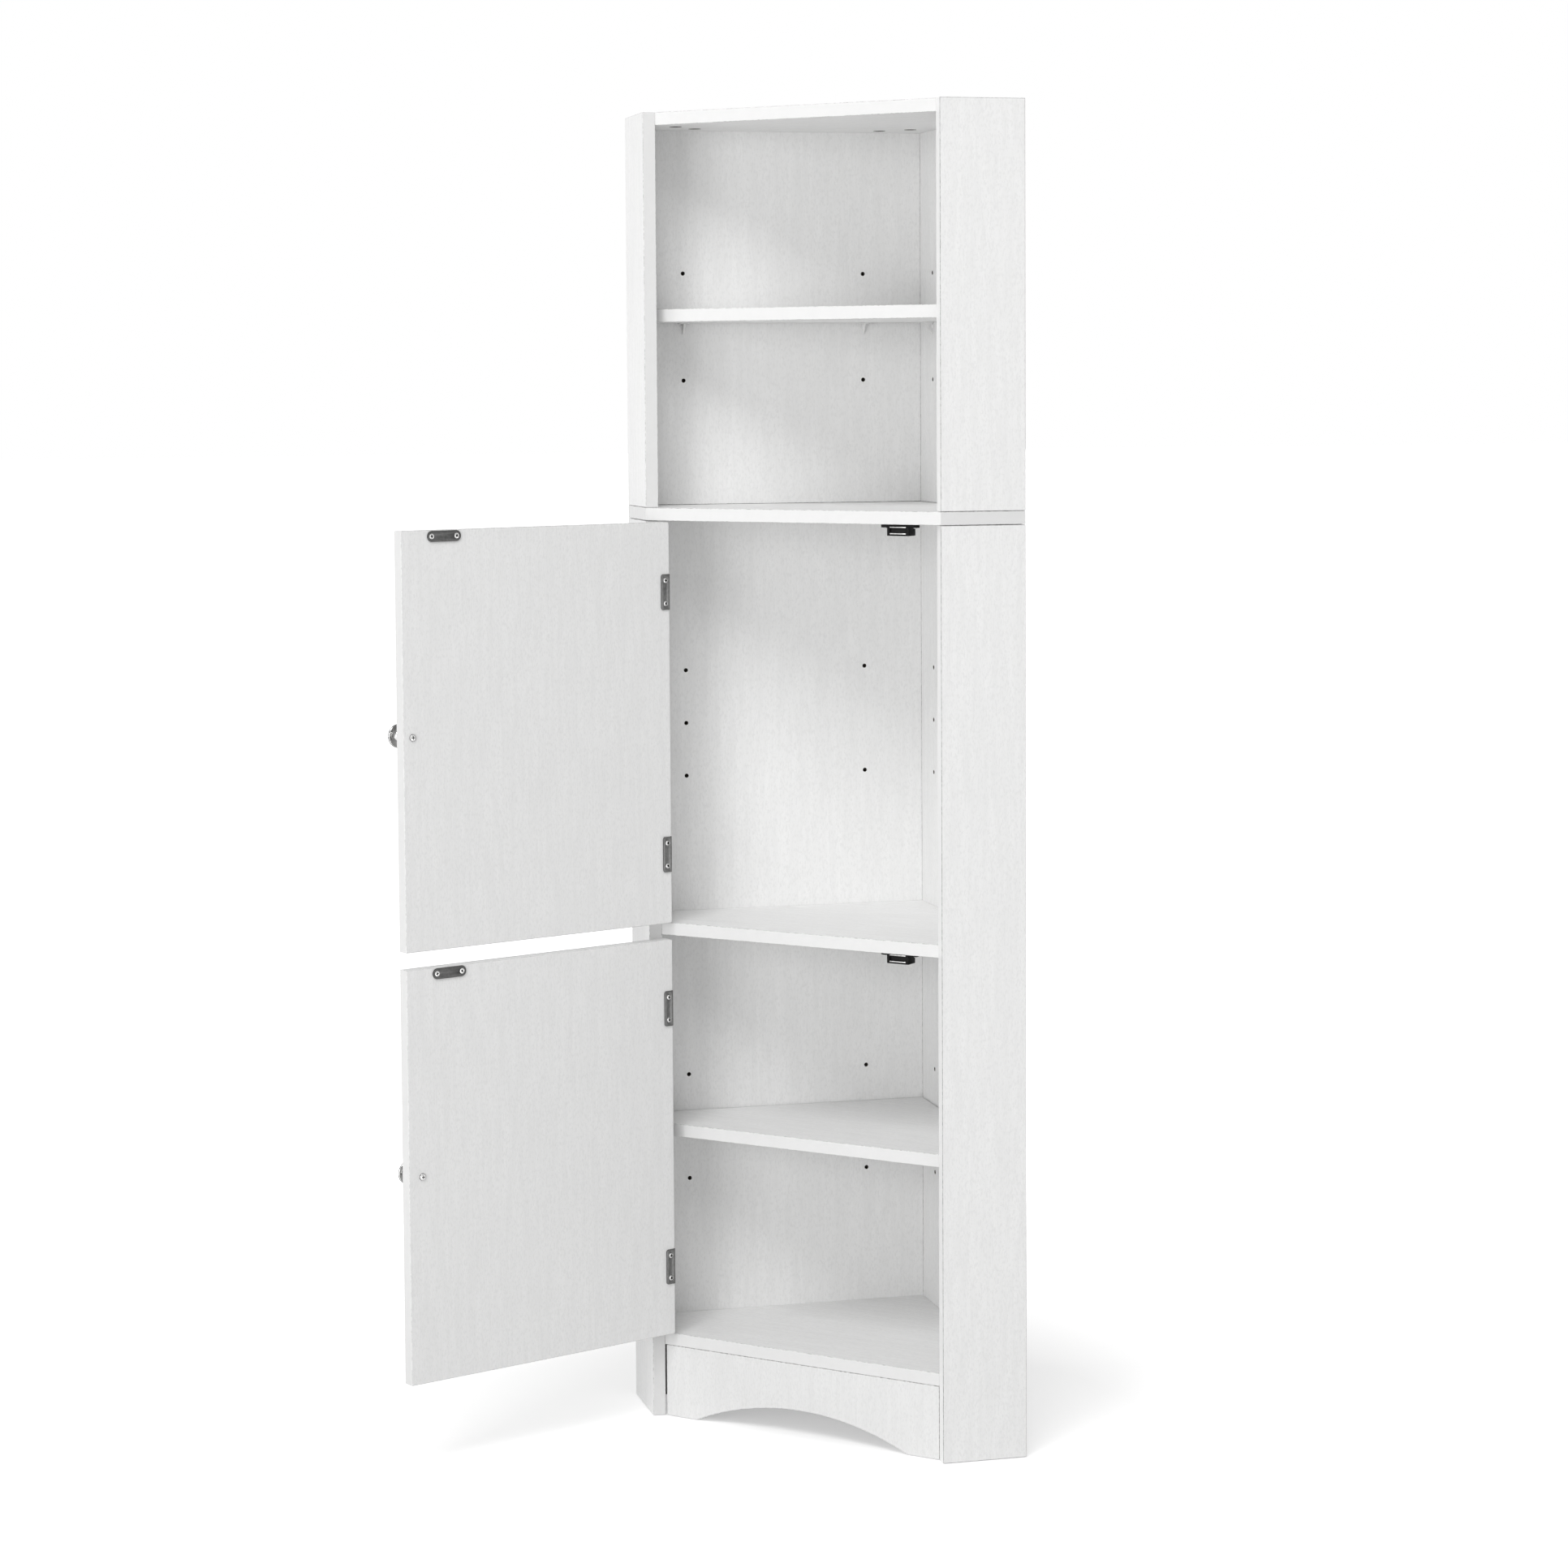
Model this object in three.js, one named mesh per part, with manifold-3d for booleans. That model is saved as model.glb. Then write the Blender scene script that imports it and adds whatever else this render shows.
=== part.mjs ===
// Corner cupboard: a white five-sided cupboard that stands where two walls meet.
// An open section with one adjustable shelf is on top, and two compartments with
// hinged doors are below it. The doors stand open.
// Millimetres, +Z up. The origin is on the floor in the rear corner, X runs back along
// the left wall and Y along the right wall, so the cupboard lies at negative X and Y.

import * as THREE from "three";
import { mergeVertices } from "three/addons/utils/BufferGeometryUtils.js";
import Module from "manifold-3d";

const wasm = await Module();
wasm.setup();

// Carcass plan: the width along each wall, the depth of a side and the board thickness
const WALL_WIDTH = 378;
const SIDE_DEPTH = 100;
const BOARD = 15;

// Clear heights from the floor up, with one board between each two of them
const KICK_HEIGHT = 86;
const LOWER_OPENING = 480;
const UPPER_OPENING = 477;
const OPEN_SECTION = 447;

// Kick board, with a shallow arch between its two feet, and its gaps to the two sides
const KICK_LEFT_GAP = 2;
const KICK_RIGHT_GAP = 0.3;
const KICK_FOOT_WIDTH = 42;
const ARCH_RISE = 31;

// Adjustable shelves
const SHELF_CLEARANCE = 1.2;
const SHELF_SET_BACK = 18;

// Holes for the shelf pins: two columns on each back, three rows in each compartment.
// The insets are from the left and the right end of a back, as seen from the front.
const PIN_HOLE_DIAMETER = 5;
const PIN_HOLE_DEPTH = 10;
const PIN_LEFT_INSET = 51;
const PIN_RIGHT_INSET = 73;
const PIN_ROW_SPACING = 64;
const PIN_ROW_DROP = 10.5;

// Shelf pin: a peg with a flat ledge and a triangular web below it
const LEDGE_WIDTH = 12.5;
const LEDGE_DEPTH = 11;
const LEDGE_THICKNESS = 1.5;
const LEDGE_CORNER = 2;
const LEDGE_RISE = 5;
const WEB_THICKNESS = 2.6;
const WEB_HEIGHT = 12.5;
const WEB_NOSE = 1.5;

// Doors: the gaps around each one when it is shut, and how far it stands open
const DOOR_HINGE_GAP = 4;
const DOOR_FREE_GAP = 1.6;
const UPPER_DOOR_GAP = 1.5;
const LOWER_DOOR_GAP = 3;
const OPEN_ANGLE = THREE.MathUtils.degToRad(112);

// Hinges: a three-knuckle barrel between a leaf on the side and one let into the door's edge
const HINGE_HEIGHT = 42;
const HINGE_INSET = 82;
const BARREL_DIAMETER = 5.2;
const HINGE_PIN_DIAMETER = 2.6;
const HINGE_PIN_HEAD_DIAMETER = 4;
const HINGE_PIN_HEAD_HEIGHT = 0.8;
const LEAF_THICKNESS = 1.2;
const LEAF_CORNER = 3;
const FRAME_LEAF_DEPTH = 14;
const DOOR_LEAF_WIDTH = 12.5;
const DOOR_LEAF_START = 4.5;
const LEAF_SCREW_SPACING = 27;
const LEAF_SCREW_INSET = 6.3;
const LEAF_SCREW_HOLE = 3.4;
const LEAF_SINK_DIAMETER = 5.4;

// Knobs: a turned mushroom on a foot, held by a machine screw through the door
const KNOB_DIAMETER = 27.5;
const KNOB_PROJECTION = 22.5;
const KNOB_RIM_HEIGHT = 13;
const KNOB_RIM_THICKNESS = 1.6;
const KNOB_FOOT_DIAMETER = 14;
const KNOB_FOOT_HEIGHT = 2;
const KNOB_NECK_DIAMETER = 9;
const UPPER_KNOB_INSET = 11.8;
const UPPER_KNOB_RISE = 5.5;
const LOWER_KNOB_INSET = 17.3;
const LOWER_KNOB_RISE = 0.7;
const KNOB_SCREW_DIAMETER = 4;
const KNOB_SCREW_GRIP = 10;
const KNOB_SCREW_HEAD_DIAMETER = 8;
const KNOB_SCREW_HEAD_HEIGHT = 1.8;

// Strike plates on the doors
const STRIKE_LENGTH = 44;
const STRIKE_WIDTH = 12.5;
const STRIKE_THICKNESS = 1.4;
const STRIKE_SCREW_SPACING = 33;
const STRIKE_SCREW_HOLE = 3.4;
const STRIKE_DROP = 7;
const STRIKE_INSET = 55.8;

// Magnetic catches under the boards above the doors, set in from the side that has no hinges
const UPPER_CATCH_INSET = 60;
const LOWER_CATCH_INSET = 62.2;
const CATCH_WIDTH = 28.4;
const CATCH_DEPTH = 16.4;
const CATCH_HEIGHT = 14.2;
const EAR_SPAN = 48.6;
const EAR_DEPTH = 12;
const EAR_SET_BACK = 6.2;
const EAR_THICKNESS = 4.8;
const EAR_SLOT_WIDTH = 3.4;
const EAR_SLOT_LENGTH = 6.4;
const POLE_WIDTH = 20.8;
const POLE_DEPTH = 13.5;
const POLE_THICKNESS = 1.1;
const POLE_SPACING = 7.4;
const POLE_PROJECTION = 0.5;
const POLE_DROP = 8;
const MAGNET_SET_BACK = 2;

// Cam locks that draw the top board to the sides and the backs
const CAM_DIAMETER = 15;
const CAM_RECESS_DEPTH = 12.5;
const CAM_EDGE_INSET = 30;
const CAM_END_INSET = 60;
const CAM_SUNK = 0.6;
const CAM_CROSS_LENGTH = 8;
const CAM_CROSS_WIDTH = 1.4;
const CAM_CROSS_DEPTH = 1.6;
const BOLT_THREAD_DIAMETER = 5;
const BOLT_THREAD_LENGTH = 9.5;
const BOLT_SHANK_DIAMETER = 6;
const BOLT_NECK_DIAMETER = 3.6;
const BOLT_NECK_LENGTH = 3;
const BOLT_HEAD_LENGTH = 2.5;
const BOLT_HEAD_SHORT = 1;

// Clearance of pieces that fit in each other or rest on a turned piece, and the overrun of cuts
const FIT_GAP = 0.3;
const OVERRUN = 1;

// Numbers of sides on round forms. An arc in an outline gets two sides for each of its steps.
const SMALL_ROUND_SIDES = 12;
const ROUND_SIDES = 20;
const KNOB_SIDES = 28;
const CORNER_STEPS = 2;
const END_STEPS = 5;
const ROUND_STEPS = 10;
const ARCH_STEPS = 14;
const PROFILE_STEPS = 4;

// Finishes
const WHITE_BOARD = new THREE.MeshStandardMaterial({ color: 0xf0f0ee, roughness: 0.5, metalness: 0 });
const WHITE_PLASTIC = new THREE.MeshStandardMaterial({ color: 0xf4f4f2, roughness: 0.35, metalness: 0 });
const BLACK_PLASTIC = new THREE.MeshStandardMaterial({ color: 0x1b1b1c, roughness: 0.5, metalness: 0 });
const PLATED_STEEL = new THREE.MeshStandardMaterial({ color: 0xa4a4a2, roughness: 0.35, metalness: 0.9 });
const BRIGHT_NICKEL = new THREE.MeshStandardMaterial({ color: 0xc9c9c7, roughness: 0.12, metalness: 1 });
const GREY_ZINC = new THREE.MeshStandardMaterial({ color: 0x86878a, roughness: 0.45, metalness: 0.8 });

// Heights of the board faces
const lowerFloor = KICK_HEIGHT + BOARD;
const middleShelfUnderside = lowerFloor + LOWER_OPENING;
const upperFloor = middleShelfUnderside + BOARD;
const midBoardUnderside = upperFloor + UPPER_OPENING;
const openFloor = midBoardUnderside + BOARD;
const topBoardUnderside = openFloor + OPEN_SECTION;
const topHeight = topBoardUnderside + BOARD;

// Plan: the inner face of a side, and the front line from corner to corner of the two sides
const sideInner = WALL_WIDTH - BOARD;
const frontCorner = new THREE.Vector3(-sideInner, -SIDE_DEPTH, 0);
const frontWidth = Math.SQRT2 * (sideInner - SIDE_DEPTH);
const frontTurn = -Math.PI / 4;

const WALLS = ["left", "right"];
const COMPARTMENTS = {
  lower: { floor: lowerFloor, height: LOWER_OPENING },
  upper: { floor: upperFloor, height: UPPER_OPENING },
  open: { floor: openFloor, height: OPEN_SECTION },
};

/** Turns a closed geometry into a solid that can be cut and joined. */
function toSolid(geometry) {
  const bare = geometry.clone();
  bare.deleteAttribute("normal");
  bare.deleteAttribute("uv");
  const merged = mergeVertices(bare);
  return new wasm.Manifold(
    new wasm.Mesh({
      numProp: 3,
      vertProperties: new Float32Array(merged.attributes.position.array),
      triVerts: new Uint32Array(merged.index.array),
    })
  );
}

/** Turns a solid back into a geometry. */
function toGeometry(solid) {
  const mesh = solid.getMesh();
  const geometry = new THREE.BufferGeometry();
  geometry.setAttribute("position", new THREE.BufferAttribute(mesh.vertProperties, mesh.numProp));
  geometry.setIndex(new THREE.BufferAttribute(mesh.triVerts, 1));
  geometry.computeVertexNormals();
  return geometry;
}

/** One geometry with the others cut out of it. */
function cut(body, tools) {
  return toGeometry(tools.reduce((solid, tool) => solid.subtract(toSolid(tool)), toSolid(body)));
}

/** Several geometries joined into one body. */
function join(bodies) {
  const [first, ...rest] = bodies.map(toSolid);
  return toGeometry(rest.reduce((solid, next) => solid.add(next), first));
}

/** What two geometries have in common. */
function common(first, second) {
  return toGeometry(toSolid(first).intersect(toSolid(second)));
}

/** A block between two opposite corners. */
function block(cornerA, cornerB) {
  const box = new THREE.Box3().setFromPoints([cornerA, cornerB]);
  const size = box.getSize(new THREE.Vector3());
  const centre = box.getCenter(new THREE.Vector3());
  return new THREE.BoxGeometry(size.x, size.y, size.z).translate(centre.x, centre.y, centre.z);
}

/** A short way to write a point. */
function point(x, y, z) {
  return new THREE.Vector3(x, y, z);
}

/** A plan shape extruded straight up from one height. */
function prism(shape, low, height, steps = CORNER_STEPS) {
  const settings = { depth: height, bevelEnabled: false, curveSegments: steps };
  return new THREE.ExtrudeGeometry(shape, settings).translate(0, 0, low);
}

/** A shape drawn in the XZ plane and extruded along +Y from one depth. */
function uprightPlate(shape, front, thickness, steps = CORNER_STEPS) {
  return prism(shape, 0, thickness, steps).rotateX(Math.PI / 2).translate(0, front + thickness, 0);
}

/** A shape drawn in the YZ plane and extruded along +X from one place. */
function crosswisePlate(shape, start, thickness, steps = CORNER_STEPS) {
  const turn = new THREE.Matrix4().makeBasis(point(0, 1, 0), point(0, 0, 1), point(1, 0, 0));
  return prism(shape, 0, thickness, steps).applyMatrix4(turn).translate(start, 0, 0);
}

/** A round bar, or a cone when the second diameter differs, from one point to another. */
function bar(diameter, from, to, sides = SMALL_ROUND_SIDES, endDiameter = diameter) {
  const along = to.clone().sub(from);
  const geometry = new THREE.CylinderGeometry(endDiameter / 2, diameter / 2, along.length(), sides);
  const turn = new THREE.Quaternion().setFromUnitVectors(point(0, 1, 0), along.clone().normalize());
  const centre = from.clone().add(to).divideScalar(2);
  return geometry.applyQuaternion(turn).translate(centre.x, centre.y, centre.z);
}

/** A body turned round the Z axis from a profile of radius and height, listed upward. */
function turned(profile, sides = ROUND_SIDES) {
  return toGeometry(toSolid(new THREE.LatheGeometry(profile, sides).rotateX(Math.PI / 2)));
}

/** A shape from its corner points. */
function polygon(corners) {
  return new THREE.Shape(corners.map(([x, y]) => new THREE.Vector2(x, y)));
}

/** An upright rectangle with both corners rounded on the side of larger x. */
function tabShape(start, end, height, radius) {
  const half = height / 2;
  const shape = new THREE.Shape();
  shape.moveTo(start, -half);
  shape.lineTo(end - radius, -half);
  shape.absarc(end - radius, radius - half, radius, -Math.PI / 2, 0);
  shape.lineTo(end, half - radius);
  shape.absarc(end - radius, half - radius, radius, 0, Math.PI / 2);
  shape.lineTo(start, half);
  return shape;
}

/** A slot with round ends, long in x, about one centre. */
function slotShape(centre, length, width) {
  const radius = width / 2;
  const reach = length / 2 - radius;
  const shape = new THREE.Shape();
  shape.moveTo(centre.x - reach, centre.y - radius);
  shape.lineTo(centre.x + reach, centre.y - radius);
  shape.absarc(centre.x + reach, centre.y, radius, -Math.PI / 2, Math.PI / 2);
  shape.lineTo(centre.x - reach, centre.y + radius);
  shape.absarc(centre.x - reach, centre.y, radius, Math.PI / 2, (3 * Math.PI) / 2);
  return shape;
}

/** A point from its distance along one wall, its distance out from that wall and its height. */
function atWall(wall, along, out, height) {
  return wall === "left" ? point(-along, -out, height) : point(-out, -along, height);
}

/** A board that follows one wall, between two distances along it, out from it and up. */
function wallBoard(wall, along, out, heights) {
  return block(atWall(wall, along[0], out[0], heights[0]), atWall(wall, along[1], out[1], heights[1]));
}

/** The five corners of a board inside the carcass, with its gap to the boards and its set-back. */
function innerOutline(gap = 0, setBack = 0) {
  const far = sideInner - gap;
  const near = BOARD + gap;
  const frontDepth = sideInner + SIDE_DEPTH - Math.SQRT2 * setBack - far;
  return polygon([[-far, -near], [-far, -frontDepth], [-frontDepth, -far], [-near, -far], [-near, -near]]);
}

/** The five corners of the board that covers the lower sides and backs. */
function outerOutline() {
  return polygon([
    [0, 0],
    [-WALL_WIDTH, 0],
    [-WALL_WIDTH, -SIDE_DEPTH],
    [-SIDE_DEPTH, -WALL_WIDTH],
    [0, -WALL_WIDTH],
  ]);
}

/** The heights of the three rows of pin holes in one compartment, from the top row down. */
function pinRows({ floor, height }) {
  const middle = floor + height / 2 - PIN_ROW_DROP;
  return [middle + PIN_ROW_SPACING, middle, middle - PIN_ROW_SPACING];
}

/** The distances along one wall of its two columns of pin holes, from left to right as seen. */
function pinColumns(wall) {
  return wall === "left"
    ? [sideInner - PIN_LEFT_INSET, BOARD + PIN_RIGHT_INSET]
    : [BOARD + PIN_LEFT_INSET, sideInner - PIN_RIGHT_INSET];
}

/** Whether a place of the pattern is left undrilled: the middle row, right column, upper left back. */
function isUndrilled(wall, compartment, row, column) {
  return wall === "left" && compartment === COMPARTMENTS.upper && row === 1 && column === 1;
}

/** The cutters of the pin holes of one back, blind from its inner face. */
function pinHoleCutters(wall, compartments) {
  const cutters = [];
  for (const compartment of compartments) {
    pinRows(compartment).forEach((height, row) => {
      pinColumns(wall).forEach((along, column) => {
        if (isUndrilled(wall, compartment, row, column)) return;
        const mouth = atWall(wall, along, BOARD + OVERRUN, height);
        const end = atWall(wall, along, BOARD - PIN_HOLE_DEPTH, height);
        cutters.push(bar(PIN_HOLE_DIAMETER, end, mouth));
      });
    });
  }
  return cutters;
}

/** The cam joints of the top board: each has its cam's centre and the bolt's place on a panel. */
function camJoints() {
  const height = topBoardUnderside + BOARD / 2;
  const out = BOARD + CAM_EDGE_INSET;
  return WALLS.flatMap((wall) => [
    ...[BOARD + CAM_END_INSET, sideInner - CAM_END_INSET].map((along) => ({
      wall,
      panel: "back",
      cam: atWall(wall, along, out, height),
      face: atWall(wall, along, BOARD, height),
    })),
    {
      wall,
      panel: "side",
      cam: atWall(wall, sideInner - CAM_EDGE_INSET, BOARD + CAM_END_INSET, height),
      face: atWall(wall, sideInner, BOARD + CAM_END_INSET, height),
    },
  ]);
}

/** The direction of a bolt, from its panel to its cam. */
function boltDirection(joint) {
  return joint.cam.clone().sub(joint.face).normalize();
}

/** The cutters of the bolt threads in one upper panel. */
function boltCutters(wall, panel) {
  return camJoints()
    .filter((joint) => joint.wall === wall && joint.panel === panel)
    .map((joint) => {
      const direction = boltDirection(joint);
      const end = joint.face.clone().addScaledVector(direction, -BOLT_THREAD_LENGTH - FIT_GAP);
      const mouth = joint.face.clone().addScaledVector(direction, OVERRUN);
      return bar(BOLT_THREAD_DIAMETER + 2 * FIT_GAP, end, mouth);
    });
}

/** A side from one height to another. */
function side(wall, low, high) {
  return wallBoard(wall, [sideInner, WALL_WIDTH], [0, SIDE_DEPTH], [low, high]);
}

/** A back from one height to another. The right one covers the end of the left one. */
function back(wall, low, high, compartments) {
  const start = wall === "left" ? BOARD : 0;
  const board = wallBoard(wall, [start, sideInner], [0, BOARD], [low, high]);
  return cut(board, pinHoleCutters(wall, compartments));
}

/** The top board, with the recesses of its cams and the edge bores of their bolts. */
function topBoard() {
  const cutters = camJoints().flatMap((joint) => {
    const low = joint.cam.clone().setZ(topBoardUnderside - OVERRUN);
    const high = joint.cam.clone().setZ(topBoardUnderside + CAM_RECESS_DEPTH);
    const mouth = joint.face.clone().addScaledVector(boltDirection(joint), -OVERRUN);
    return [
      bar(CAM_DIAMETER, low, high, ROUND_SIDES),
      bar(BOLT_SHANK_DIAMETER + 2 * FIT_GAP, mouth, joint.cam),
    ];
  });
  return cut(prism(innerOutline(), topBoardUnderside, BOARD), cutters);
}

/** A cam: a round block with a mouth for the bolt's head and a cross slot to turn it. */
function camLock(joint) {
  const low = joint.cam.clone().setZ(topBoardUnderside + CAM_SUNK);
  const high = joint.cam.clone().setZ(topBoardUnderside + CAM_RECESS_DEPTH - FIT_GAP);
  const mouth = joint.cam.clone().addScaledVector(boltDirection(joint), -CAM_DIAMETER);
  const crossHalf = CAM_CROSS_LENGTH / 2;
  const barHalf = CAM_CROSS_WIDTH / 2;
  const slots = [
    [crossHalf, barHalf],
    [barHalf, crossHalf],
  ].map(([x, y]) => block(
    low.clone().add(point(-x, -y, -OVERRUN)),
    low.clone().add(point(x, y, CAM_CROSS_DEPTH))
  ));
  const body = bar(CAM_DIAMETER - 2 * FIT_GAP, low, high, ROUND_SIDES);
  return cut(body, [bar(BOLT_SHANK_DIAMETER + 2 * FIT_GAP, mouth, joint.cam), ...slots]);
}

/** A cam bolt: a thread for the panel, a shank, and a neck and head for the cam. */
function camBolt(joint) {
  const thread = BOLT_THREAD_DIAMETER / 2;
  const shank = BOLT_SHANK_DIAMETER / 2;
  const neck = BOLT_NECK_DIAMETER / 2;
  const end = CAM_EDGE_INSET - BOLT_HEAD_SHORT;
  const neckEnd = end - BOLT_HEAD_LENGTH;
  const neckStart = neckEnd - BOLT_NECK_LENGTH;
  const profile = [
    [0, -BOLT_THREAD_LENGTH],
    [thread, -BOLT_THREAD_LENGTH],
    [thread, 0],
    [shank, 0],
    [shank, neckStart],
    [neck, neckStart],
    [neck, neckEnd],
    [shank, neckEnd],
    [shank, end],
    [0, end],
  ].map(([radius, height]) => new THREE.Vector2(radius, height));
  const turn = new THREE.Quaternion().setFromUnitVectors(point(0, 0, 1), boltDirection(joint));
  return turned(profile, SMALL_ROUND_SIDES)
    .applyQuaternion(turn)
    .translate(joint.face.x, joint.face.y, joint.face.z);
}

/** The kick board, with its arch, in the frame of the front line. */
function kickBoard() {
  const start = KICK_LEFT_GAP;
  const end = frontWidth - KICK_RIGHT_GAP;
  const middle = (start + end) / 2;
  const halfChord = middle - start - KICK_FOOT_WIDTH;
  const radius = (halfChord ** 2 + ARCH_RISE ** 2) / (2 * ARCH_RISE);
  const half = Math.asin(halfChord / radius);
  const shape = new THREE.Shape();
  shape.moveTo(start, 0);
  shape.absarc(middle, ARCH_RISE - radius, radius, Math.PI / 2 + half, Math.PI / 2 - half, true);
  shape.lineTo(end, 0);
  shape.lineTo(end, KICK_HEIGHT);
  shape.lineTo(start, KICK_HEIGHT);
  return uprightPlate(shape, 0, BOARD, ARCH_STEPS);
}

/** An adjustable shelf that lies at one height. */
function adjustableShelf(underside) {
  return prism(innerOutline(SHELF_CLEARANCE, SHELF_SET_BACK), underside, BOARD);
}

/** A shelf pin on the left wall: its ledge is at height zero and its peg points to +Y. */
function shelfPin() {
  const ledge = new THREE.Shape();
  const half = LEDGE_WIDTH / 2;
  ledge.moveTo(-half, 0);
  ledge.lineTo(-half, LEDGE_CORNER - LEDGE_DEPTH);
  ledge.absarc(LEDGE_CORNER - half, LEDGE_CORNER - LEDGE_DEPTH, LEDGE_CORNER, Math.PI, 1.5 * Math.PI);
  ledge.lineTo(half - LEDGE_CORNER, -LEDGE_DEPTH);
  ledge.absarc(half - LEDGE_CORNER, LEDGE_CORNER - LEDGE_DEPTH, LEDGE_CORNER, 1.5 * Math.PI, 2 * Math.PI);
  ledge.lineTo(half, 0);
  const web = polygon([
    [0, -LEDGE_THICKNESS / 2],
    [0, -LEDGE_THICKNESS - WEB_HEIGHT],
    [-WEB_NOSE, -LEDGE_THICKNESS - WEB_HEIGHT],
    [WEB_NOSE - LEDGE_DEPTH, -LEDGE_THICKNESS],
    [WEB_NOSE - LEDGE_DEPTH, -LEDGE_THICKNESS / 2],
  ]);
  const root = point(0, -LEDGE_THICKNESS, -LEDGE_RISE);
  const tip = point(0, PIN_HOLE_DEPTH - OVERRUN, -LEDGE_RISE);
  return join([
    prism(ledge, -LEDGE_THICKNESS, LEDGE_THICKNESS),
    crosswisePlate(web, -WEB_THICKNESS / 2, WEB_THICKNESS),
    bar(PIN_HOLE_DIAMETER - 2 * FIT_GAP, root, tip),
  ]);
}

// Hinge geometry in plan, about the hinge axis
const barrelRadius = BARREL_DIAMETER / 2;
const doorFront = barrelRadius + FIT_GAP;
const doorBack = doorFront + BOARD;
const doorWidth = frontWidth - DOOR_HINGE_GAP - DOOR_FREE_GAP;
const leafOuter = doorBack + FIT_GAP + LEAF_THICKNESS;
const knuckleHeight = (HINGE_HEIGHT - 2 * FIT_GAP) / 3;
const boreDiameter = HINGE_PIN_DIAMETER + 2 * FIT_GAP;
const linkStart = (boreDiameter / 2 + barrelRadius) / 2;

/** The hinge axis: just in front of the shut door's face, at the door's hinge edge. */
function hingeAxis() {
  return point(DOOR_HINGE_GAP, -doorFront, 0)
    .applyAxisAngle(point(0, 0, 1), frontTurn)
    .add(frontCorner);
}

/** The lower end of one of the three knuckles, counted from the bottom. */
function knuckleLow(index) {
  return index * (knuckleHeight + FIT_GAP) - HINGE_HEIGHT / 2;
}

/** A knuckle: a rolled eye round the hinge axis, with a strip that joins it to its leaf. */
function knuckle(index, stripStart, stripEnd) {
  const eye = new THREE.Shape();
  eye.absarc(0, 0, barrelRadius, 0, 2 * Math.PI);
  const bore = new THREE.Path();
  bore.absarc(0, 0, boreDiameter / 2, 0, 2 * Math.PI);
  eye.holes.push(bore);
  const low = knuckleLow(index);
  return [
    prism(eye, low, knuckleHeight, ROUND_STEPS),
    block(
      point(stripStart, linkStart, low),
      point(stripStart + LEAF_THICKNESS, stripEnd, low + knuckleHeight)
    ),
  ];
}

/** The cutters of a pair of countersunk screw holes, one above the other, through a leaf. */
function leafScrewCutters(entry, direction) {
  return [-1, 1].flatMap((end) => {
    const face = entry.clone().setZ((end * LEAF_SCREW_SPACING) / 2);
    const start = face.clone().addScaledVector(direction, -OVERRUN);
    const exit = face.clone().addScaledVector(direction, LEAF_THICKNESS + OVERRUN);
    const sinkEnd = face.clone().addScaledVector(direction, LEAF_THICKNESS / 2);
    return [
      bar(LEAF_SCREW_HOLE, start, exit),
      bar(LEAF_SINK_DIAMETER, face, sinkEnd, SMALL_ROUND_SIDES, LEAF_SCREW_HOLE),
    ];
  });
}

/** The leaf on the inner face of the side, with the two outer knuckles, about the hinge axis. */
function frameLeaf() {
  const corner = frontCorner.clone().sub(hingeAxis());
  const end = corner.y + FRAME_LEAF_DEPTH;
  const flat = crosswisePlate(
    tabShape(corner.y, end, HINGE_HEIGHT, LEAF_CORNER),
    corner.x,
    LEAF_THICKNESS
  );
  const entry = point(corner.x + LEAF_THICKNESS, end - LEAF_SCREW_INSET, 0);
  const holes = leafScrewCutters(entry, point(-1, 0, 0));
  const seated = corner.y + FIT_GAP;
  return cut(join([flat, ...knuckle(0, corner.x, seated), ...knuckle(2, corner.x, seated)]), holes);
}

/** The leaf let into the door's edge and bent onto its inner face, with the middle knuckle. */
function doorLeaf() {
  const inner = doorBack + FIT_GAP;
  const angle = polygon([
    [0, DOOR_LEAF_START],
    [LEAF_THICKNESS, DOOR_LEAF_START],
    [LEAF_THICKNESS, inner],
    [DOOR_LEAF_WIDTH, inner],
    [DOOR_LEAF_WIDTH, leafOuter],
    [0, leafOuter],
  ]);
  const bent = prism(angle, -HINGE_HEIGHT / 2, HINGE_HEIGHT);
  const tab = tabShape(-OVERRUN, DOOR_LEAF_WIDTH, HINGE_HEIGHT, LEAF_CORNER);
  const rounded = common(bent, uprightPlate(tab, DOOR_LEAF_START - OVERRUN, leafOuter));
  const holes = leafScrewCutters(point(LEAF_SCREW_INSET, leafOuter, 0), point(0, -1, 0));
  return cut(join([rounded, ...knuckle(1, 0, DOOR_LEAF_START + FIT_GAP)]), holes);
}

/** The hinge pin, with its head on the top knuckle. */
function hingePin() {
  const half = HINGE_HEIGHT / 2;
  const head = HINGE_PIN_HEAD_DIAMETER / 2;
  const radius = HINGE_PIN_DIAMETER / 2;
  const profile = [
    [0, -half],
    [radius, -half],
    [radius, half],
    [head, half],
    [head, half + HINGE_PIN_HEAD_HEIGHT / 2],
    [radius, half + HINGE_PIN_HEAD_HEIGHT],
    [0, half + HINGE_PIN_HEAD_HEIGHT],
  ].map(([x, y]) => new THREE.Vector2(x, y));
  return turned(profile, SMALL_ROUND_SIDES);
}

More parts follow.
